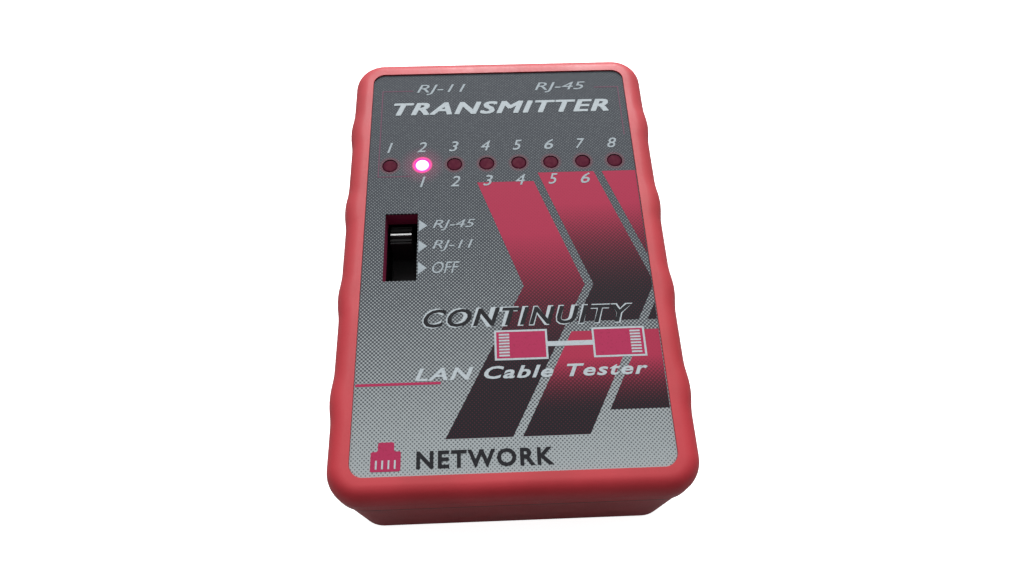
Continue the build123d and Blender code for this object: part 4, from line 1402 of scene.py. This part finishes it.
    def word(
        self,
        name: str,
        text: str,
        extent: Extent,
        ink: bpy.types.Material,
        slant: float = 0.0,
        weight: float = 0.0,
        layer: Layer = Layer.WORD,
        strikes: Sequence[Spot] = (),
        spacing: float = 0.0,
    ) -> bpy.types.Object:
        """Prints a word that fills a rectangle.

        Args:
            name: The piece's name.
            text: The characters.
            extent: Lowest x, highest x, lowest y and highest y, in millimetres.
            ink: The word's material.
            slant: The lean of the letters.
            weight: How far the strokes are thickened, as a share of the letter size.
            layer: The pass that it is printed in.
            strikes: Where the word is struck again to thicken it, as shifts in millimetres.
            spacing: How much further apart the letters stand, as a share of their usual pitch.

        Returns:
            The piece.
        """
        curve = bpy.data.curves.new(name, "FONT")
        curve.body = text
        curve.shear = slant
        curve.offset = weight
        curve.space_character = 1 + spacing + self.tracking * weight
        curve.resolution_u = 3
        curve.extrude = 0.5
        holder = bpy.data.objects.new(name, curve)
        bpy.context.scene.collection.objects.link(holder)
        mesh = bpy.data.meshes.new_from_object(holder)
        shape = bmesh.new()
        shape.from_mesh(mesh)
        bpy.data.objects.remove(holder)
        bpy.data.curves.remove(curve)
        bpy.data.meshes.remove(mesh)
        bmesh.ops.remove_doubles(shape, verts=shape.verts, dist=1e-5)
        for face in shape.faces:
            face.smooth = False
            face.material_index = 0
        xs = [v.co.x for v in shape.verts]
        ys = [v.co.y for v in shape.verts]
        x_low, x_high, y_low, y_high = extent
        wide = (x_high - x_low) / (max(xs) - min(xs))
        scale = Vector((wide, (y_high - y_low) / (max(ys) - min(ys)), layer.value))
        centre = Vector(((max(xs) + min(xs)) / 2, (max(ys) + min(ys)) / 2, -0.5))
        bmesh.ops.translate(shape, verts=shape.verts, vec=-centre)
        bmesh.ops.scale(shape, verts=shape.verts, vec=scale * MM)
        middle = Vector(((x_low + x_high) / 2, (y_low + y_high) / 2, self.top_z)) * MM
        bmesh.ops.translate(shape, verts=shape.verts, vec=middle)
        first = shape.verts[:] + shape.edges[:] + shape.faces[:]
        for index, (right, up) in enumerate(strikes):
            struck = bmesh.ops.duplicate(shape, geom=first)["geom"]
            again = [v for v in struck if isinstance(v, bmesh.types.BMVert)]
            lift = self.strike_lift * (index + 1)
            bmesh.ops.translate(shape, verts=again, vec=Vector((right, up, lift)) * MM)
        return make_piece(name, shape, ink, Body.CASE)

    def words(self) -> None:
        """Prints the generic words, numbers and pointers."""
        lean = self.lean
        for name, text, extent in self.heads:
            self.word(f"print_{name}_head", text, extent, self.light, lean)
        self.word(
            "print_transmitter",
            "TRANSMITTER",
            self.title,
            self.pale,
            lean,
            strikes=self.title_strikes,
            spacing=self.title_spacing,
        )
        shifted = tuple(x + self.pair_shift for x in self.lamp_xs[1:7])
        for kind, row, xs in (
            ("number", self.number_row, self.lamp_xs),
            ("pair", self.pair_row, shifted),
        ):
            for index, x in enumerate(xs):
                extent = self.digit_extent(x, *row, index == 0)
                name = f"print_{kind}_{index + 1}"
                self.word(name, str(index + 1), extent, self.light, lean, self.digit_weight)
        for name, text, x_high, y in self.positions:
            extent = (self.position_x, x_high, y, y + self.position_h)
            self.word(f"print_position_{name}", text, extent, self.light, lean)
            middle = y + self.position_h / 2
            base, tip = self.pointer_x
            points = ((base, middle - self.pointer_half), (tip, middle))
            points = (*points, (base, middle + self.pointer_half))
            self.print_shape(f"print_pointer_{name}", points, self.light, Layer.WORD)
        left, right, low, high = self.purpose
        for name, ink, grow, weight, layer in (
            ("halo", self.pale, self.halo_grow, self.halo_weight, Layer.HALO),
            ("face", self.dark, 0.0, self.purpose_weight, Layer.WORD),
        ):
            extent = (left - grow, right + grow, low - grow, high + grow)
            name = f"print_purpose_{name}"
            self.word(name, "CONTINUITY", extent, ink, lean, weight, layer)
        self.word(
            "print_lan_cable_tester",
            "LAN Cable Tester",
            self.kind,
            self.pale,
            lean,
            self.kind_weight,
        )
        self.word("print_network", "NETWORK", self.network, self.dark, 0.0, self.network_weight)

    def digit_extent(self, x: float, low: float, high: float, narrow: bool) -> Extent:
        """The rectangle of one digit, which is narrower for a one."""
        half = self.digit_halves[0] if narrow else self.digit_halves[1]
        return (x - half, x + half, low, high)

    def socket_marks(self) -> None:
        """Prints two plugs joined by a lead: crimson bodies with pale outlines and contacts."""
        low, high = self.plug_y
        wall = self.plug_wall
        for name, x_low, x_high, contact_x in self.plugs:
            plug = f"print_plug_{name}"
            outer = (x_low, x_high, low, high)
            inner = (x_low + wall, x_high - wall, low + wall, high - wall)
            self.frame_patch(f"{plug}_outline", *outer, self.pale, Layer.OUTLINE)
            self.frame_patch(f"{plug}_body", *inner, self.crimson, Layer.BADGE)
            pitch = (high - low - 2 * self.contact_inset) / (self.contact_count - 1)
            x = x_low + contact_x
            for index in range(self.contact_count):
                y = low + self.contact_inset + index * pitch
                strip = (x, x + self.contact_l, y - self.contact_half, y + self.contact_half)
                piece = f"{plug}_contact_{index + 1}"
                self.frame_patch(piece, *strip, self.pale, Layer.WORD)
        middle = (low + high) / 2
        lead = (self.plugs[0][2], self.plugs[1][1], middle - self.lead_half)
        self.frame_patch("print_lead", *lead, middle + self.lead_half, self.pale, Layer.OUTLINE)

    def frame_patch(
        self,
        name: str,
        x_low: float,
        x_high: float,
        y_low: float,
        y_high: float,
        ink: bpy.types.Material,
        layer: Layer,
    ) -> bpy.types.Object:
        """Prints a rectangle."""
        points = ((x_low, y_low), (x_high, y_low), (x_high, y_high), (x_low, y_high))
        return self.print_shape(name, points, ink, layer)

    def plug_mark(self) -> None:
        """Prints the small crimson plug badge by the foot of the label."""
        self.print_shape(
            "print_badge", self.badge, self.crimson, Layer.OUTLINE, self.badge_rounding
        )
        for index, x in enumerate(self.badge_pins):
            pin = (x - self.badge_pin_half, x + self.badge_pin_half, *self.badge_pin_y)
            self.frame_patch(f"print_badge_pin_{index + 1}", *pin, self.pale, Layer.WORD)


@dataclass
class Lamps:
    """The row of eight LEDs, the second of them lit, and their tinned leads."""

    count: int = 8
    lit: int = 2
    pitch: float = 6.35
    row_x: float = 0.14
    row_y: float = 18.57

    def build(self) -> None:
        """Dresses the lamps and their leads."""
        # Unlit lamps: the darker rim colour is painted shade, and their faint emission is painted
        # light.
        dark = CastEpoxy(
            "dark_red_cast_epoxy", "#451023", "#3e0d20", "#4c1425", self.pitch, self.row_y
        )
        lit = CastEpoxy(
            "lit_cast_epoxy",
            "#ff9ad0",
            "#ff2f90",
            "#ffffff",
            self.pitch,
            self.row_y,
            lit_x=self.row_x + (self.lit - 1 - (self.count - 1) / 2) * self.pitch,
            strength=4.0,
        )
        dark_material, lit_material = dark.material(), lit.material()
        for number in range(1, self.count + 1):
            is_lit = number == self.lit
            dress_node(
                f"led_{number}",
                lit_material if is_lit else dark_material,
                Body.CASE,
            )
        tin = PlatedMetal("hot_tinned_copper", "#b9bdbf", "#94979a", 0.3)
        dress_node("led_leads", tin.material(), Body.CASE)


@dataclass
class SlideSwitch:
    """The three-position slide switch behind the window in the face."""

    black: CrestedKnob = CrestedKnob("finger_polished_black_abs")
    shroud: MouldedPlastic = MouldedPlastic(
        "matt_black_pbt", "#050506", "#08080a", 0.6, 0.4, 0.005, 1.2
    )
    steel: PlatedMetal = PlatedMetal("black_oxide_steel", "#0a0a0c", "#060607", 0.5)
    phenolic: MouldedPlastic = MouldedPlastic(
        "pressed_phenolic_paper", "#4a2c18", "#3a2011", 0.45, 0.3, 0.01
    )
    bronze: PlatedMetal = PlatedMetal("rolled_phosphor_bronze", "#b5793f", "#8d5c33", 0.3)
    tin: PlatedMetal = PlatedMetal("tinned_brass", "#b4b8ba", "#909396", 0.32)

    def build(self) -> None:
        """Dresses the switch."""
        dress_node("switch_base", self.phenolic.material(), Body.CASE)
        dress_node("switch_terminals", self.tin.material(), Body.CASE)
        dress_node("switch_cover", self.steel.material(), Body.CASE)
        dress_node("switch_shroud", self.shroud.material(), Body.CASE)
        dress_node("switch_knob", self.black.material(), Body.SLIDER)
        dress_node("switch_wipers", self.bronze.material(), Body.SLIDER)


@dataclass
class Sockets:
    """The two modular sockets in the far end and their gold-plated spring contacts."""

    shell: MouldedPlastic = MouldedPlastic(
        "moulded_black_pbt", "#16171a", "#1d1e21", 0.4, 0.3, 0.008
    )
    gold: PlatedMetal = PlatedMetal("flash_gold_plate", "#d9a441", "#b98632", 0.2)

    def build(self) -> None:
        """Dresses the sockets."""
        shell, gold = self.shell.material(), self.gold.material()
        for kind in ("rj45", "rj11"):
            dress_node(f"{kind}_jack", shell, Body.CASE)
            dress_node(f"{kind}_contacts", gold, Body.CASE)


@dataclass
class Power:
    """The nine volt battery, its snap connector and wires, and the foam on its door."""

    nickel: PlatedMetal = PlatedMetal("nickel_plated_steel", "#b8b2a6", "#96918a", 0.25)
    snap: MouldedPlastic = MouldedPlastic("soft_black_pvc", "#141415", "#1c1c1e", 0.5, 0.5, 0.01)
    red: MouldedPlastic = MouldedPlastic("extruded_red_pvc", "#b01a1e", "#9c1518", 0.38, 0.6, 0.004)

    def build(self) -> None:
        """Dresses the battery and what holds it."""
        black = self.snap.material()
        jacket = PrintedJacket("printed_steel_jacket").material()
        dress_node("battery", jacket, Body.CASE)
        dress_node("battery_terminals", self.nickel.material(), Body.CASE)
        dress_node("battery_snap", black, Body.CASE)
        dress_node("battery_wire_red", self.red.material(), Body.CASE)
        dress_node("battery_wire_black", black, Body.CASE)
        dress_node("battery_foam", OpenCellFoam("die_cut_foam").material(), Body.DOOR)


@dataclass
class ControlBoard:
    """The circuit board and the small parts soldered to it."""

    resistor_y: float = 25.2
    can_stripe_x: float = 11.3

    def build(self) -> None:
        """Dresses the board and its parts."""
        epoxy = MouldedPlastic(
            "transfer_moulded_epoxy", "#1b1c1e", "#232427", 0.5, 0.15, 0.01
        ).material()
        tin = PlatedMetal("solder_tinned_pins", "#b9bdbf", "#94979a", 0.3).material()
        disc = MouldedPlastic("dipped_ceramic_lacquer", "#b4682c", "#9d5622", 0.35, 0.5, 0.02)
        coat = BandedCoat("banded_resistor_lacquer", self.resistor_y)
        can = ShrinkSleeve("shrunk_can_sleeve", self.can_stripe_x)
        dress_node("circuit_board", MaskedBoard("green_masked_board").material(), Body.CASE)
        dress_node("counter_chip", epoxy, Body.CASE)
        dress_node("timer_chip", epoxy, Body.CASE)
        dress_node("chip_pins", tin, Body.CASE)
        dress_node("resistors", coat.material(), Body.CASE)
        dress_node("diodes", LampedGlass("drawn_diode_glass").material(), Body.CASE)
        dress_node("electrolytic_capacitor", can.material(), Body.CASE)
        dress_node("ceramic_capacitors", disc.material(), Body.CASE)


# ---------------------------------------------------------------- studio
@dataclass
class Studio:
    """The floor, the soft light and the camera."""

    floor_size: float = 3.0
    floor_z: float = -0.05
    sky: float = 1.15
    sky_dim: float = 0.13
    sky_low: float = 0.15
    sky_high: float = 0.85
    sky_lean: tuple = (0.0, 0.75, 0.66)
    under_light: float = 0.55
    touch_mm: float = 0.5
    key_power: float = 6.0
    key_size: float = 0.3
    key_place: tuple = (0.05, 0.68, 0.48)
    glint_power: float = 0.9
    glint_size: float = 0.12
    glint_place: tuple = (-0.117, 0.425, 0.70)
    lens: float = 24.98
    sensor: float = 36.0
    camera_place: tuple = (-2.583, -68.106, 141.029)
    camera_right: tuple = (0.99917309, -0.03942308, 0.00994751)
    camera_up: tuple = (0.03040764, 0.88696093, 0.46084237)
    camera_back: tuple = (-0.02699088, -0.46015881, 0.88742626)

    def build(self) -> None:
        """Builds the studio."""
        bpy.context.scene.view_settings.view_transform = "Standard"
        self.floor()
        self.lights()
        self.camera()

    def floor(self) -> None:
        """A pale floor. Its underside can't be seen, so the back of the tester shows from below,
        and what all but touches it is lit through it."""
        mix = Recipe("pale_floor")
        light_path = mix.add("ShaderNodeLightPath")
        path = light_path.outputs["Is Camera Ray"]
        touch = mix.add(
            "ShaderNodeMath",
            {0: light_path.outputs["Ray Length"], 1: self.touch_mm * MM},
            operation="LESS_THAN",
        )
        side = mix.add("ShaderNodeNewGeometry").outputs["Backfacing"]
        tooth = mix.add("ShaderNodeTexNoise", mix.grit(6.0, 4.0))
        paper = mix.add(
            "ShaderNodeBsdfDiffuse",
            {
                "Color": mix.add(
                    "ShaderNodeMix", {"Factor": tooth, "A": "#a8a8a8", "B": "#a2a2a2"}, **COLOUR
                ),
            },
        )
        bright = mix.add(
            "ShaderNodeBsdfDiffuse",
            {
                "Color": mix.add(
                    "ShaderNodeMix", {"Factor": tooth, "A": "#fafafa", "B": "#f6f6f6"}, **COLOUR
                ),
            },
        )
        glow = mix.add("ShaderNodeEmission", {"Color": (1, 1, 1, 1), "Strength": 0.85})
        seen = mix.add("ShaderNodeAddShader", {0: bright, 1: glow})
        top = mix.add("ShaderNodeMixShader", {0: path, 1: paper, 2: seen})
        clear = mix.add("ShaderNodeBsdfTransparent")
        through = mix.add("ShaderNodeMath", {0: side, 1: touch}, operation="MAXIMUM")
        both = mix.add("ShaderNodeMixShader", {0: through, 1: top, 2: clear})
        mix.add("ShaderNodeOutputMaterial", {"Surface": both})
        shape = bmesh.new()
        bmesh.ops.create_grid(shape, x_segments=8, y_segments=8, size=self.floor_size / 2)
        bmesh.ops.translate(shape, verts=shape.verts, vec=(0, 0, self.floor_z * MM))
        mesh = bpy.data.meshes.new("floor")
        shape.to_mesh(mesh)
        shape.free()
        mesh.materials.append(mix.material)
        floor = bpy.data.objects.new("floor", mesh)
        bpy.context.scene.collection.objects.link(floor)

    def lights(self) -> None:
        """An even white surround, a soft key light behind and a small one for the knob's glint."""
        world = bpy.data.worlds.new("white_surround")
        world.use_nodes = True
        tree = world.node_tree
        tree.nodes.clear()
        ray = add_node(tree, "ShaderNodeTexCoord").outputs["Generated"]
        above = add_node(
            tree, "ShaderNodeVectorMath", {0: ray, 1: self.sky_lean}, operation="DOT_PRODUCT"
        ).outputs["Value"]
        ends = span(self.sky_low, self.sky_high, self.sky_dim, self.sky)
        strength = add_node(
            tree, "ShaderNodeMapRange", {"Value": above, **ends}, interpolation_type="SMOOTHSTEP"
        )
        height = add_node(tree, "ShaderNodeSeparateXYZ", {"Vector": ray}).outputs["Z"]
        below = add_node(tree, "ShaderNodeMath", {0: height, 1: 0.0}, operation="LESS_THAN")
        strength = add_node(
            tree,
            "ShaderNodeMix",
            {"Factor": below, "A": strength, "B": self.under_light},
            data_type="FLOAT",
        )
        path = add_node(tree, "ShaderNodeLightPath").outputs["Is Camera Ray"]
        lit = add_node(tree, "ShaderNodeBackground", {"Color": (1, 1, 1, 1), "Strength": strength})
        seen = add_node(tree, "ShaderNodeBackground", {"Color": (1, 1, 1, 1), "Strength": 1.0})
        both = add_node(tree, "ShaderNodeMixShader", {0: path, 1: lit, 2: seen})
        add_node(tree, "ShaderNodeOutputWorld", {"Surface": both})
        bpy.context.scene.world = world
        for name, power, size, place in (
            ("key", self.key_power, self.key_size, self.key_place),
            ("glint", self.glint_power, self.glint_size, self.glint_place),
        ):
            light = bpy.data.lights.new(name, "AREA")
            light.energy = power
            light.size = size
            lamp = bpy.data.objects.new(name, light)
            lamp.location = place
            lamp.rotation_euler = (-Vector(place)).to_track_quat("-Z", "Y").to_euler()
            bpy.context.scene.collection.objects.link(lamp)

    def camera(self) -> None:
        """The camera, a short lens held close above the foot of the tester."""
        data = bpy.data.cameras.new("camera")
        data.lens = self.lens
        data.sensor_width = self.sensor
        data.sensor_fit = "HORIZONTAL"
        data.clip_start = 5 * MM
        camera = bpy.data.objects.new("camera", data)
        turn = Matrix((self.camera_right, self.camera_up, self.camera_back)).transposed()
        camera.matrix_world = Matrix.Translation(Vector(self.camera_place) * MM) @ turn.to_4x4()
        bpy.context.scene.collection.objects.link(camera)
        bpy.context.scene.camera = camera


def main() -> None:
    """Builds every sub-assembly in order."""
    logging.basicConfig(level=logging.INFO, format="%(message)s")
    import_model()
    for assembly in (
        Shells(),
        FaceLabel(),
        Lamps(),
        SlideSwitch(),
        Sockets(),
        Power(),
        ControlBoard(),
        Studio(),
    ):
        assembly.build()


if __name__ == "__main__":
    main()
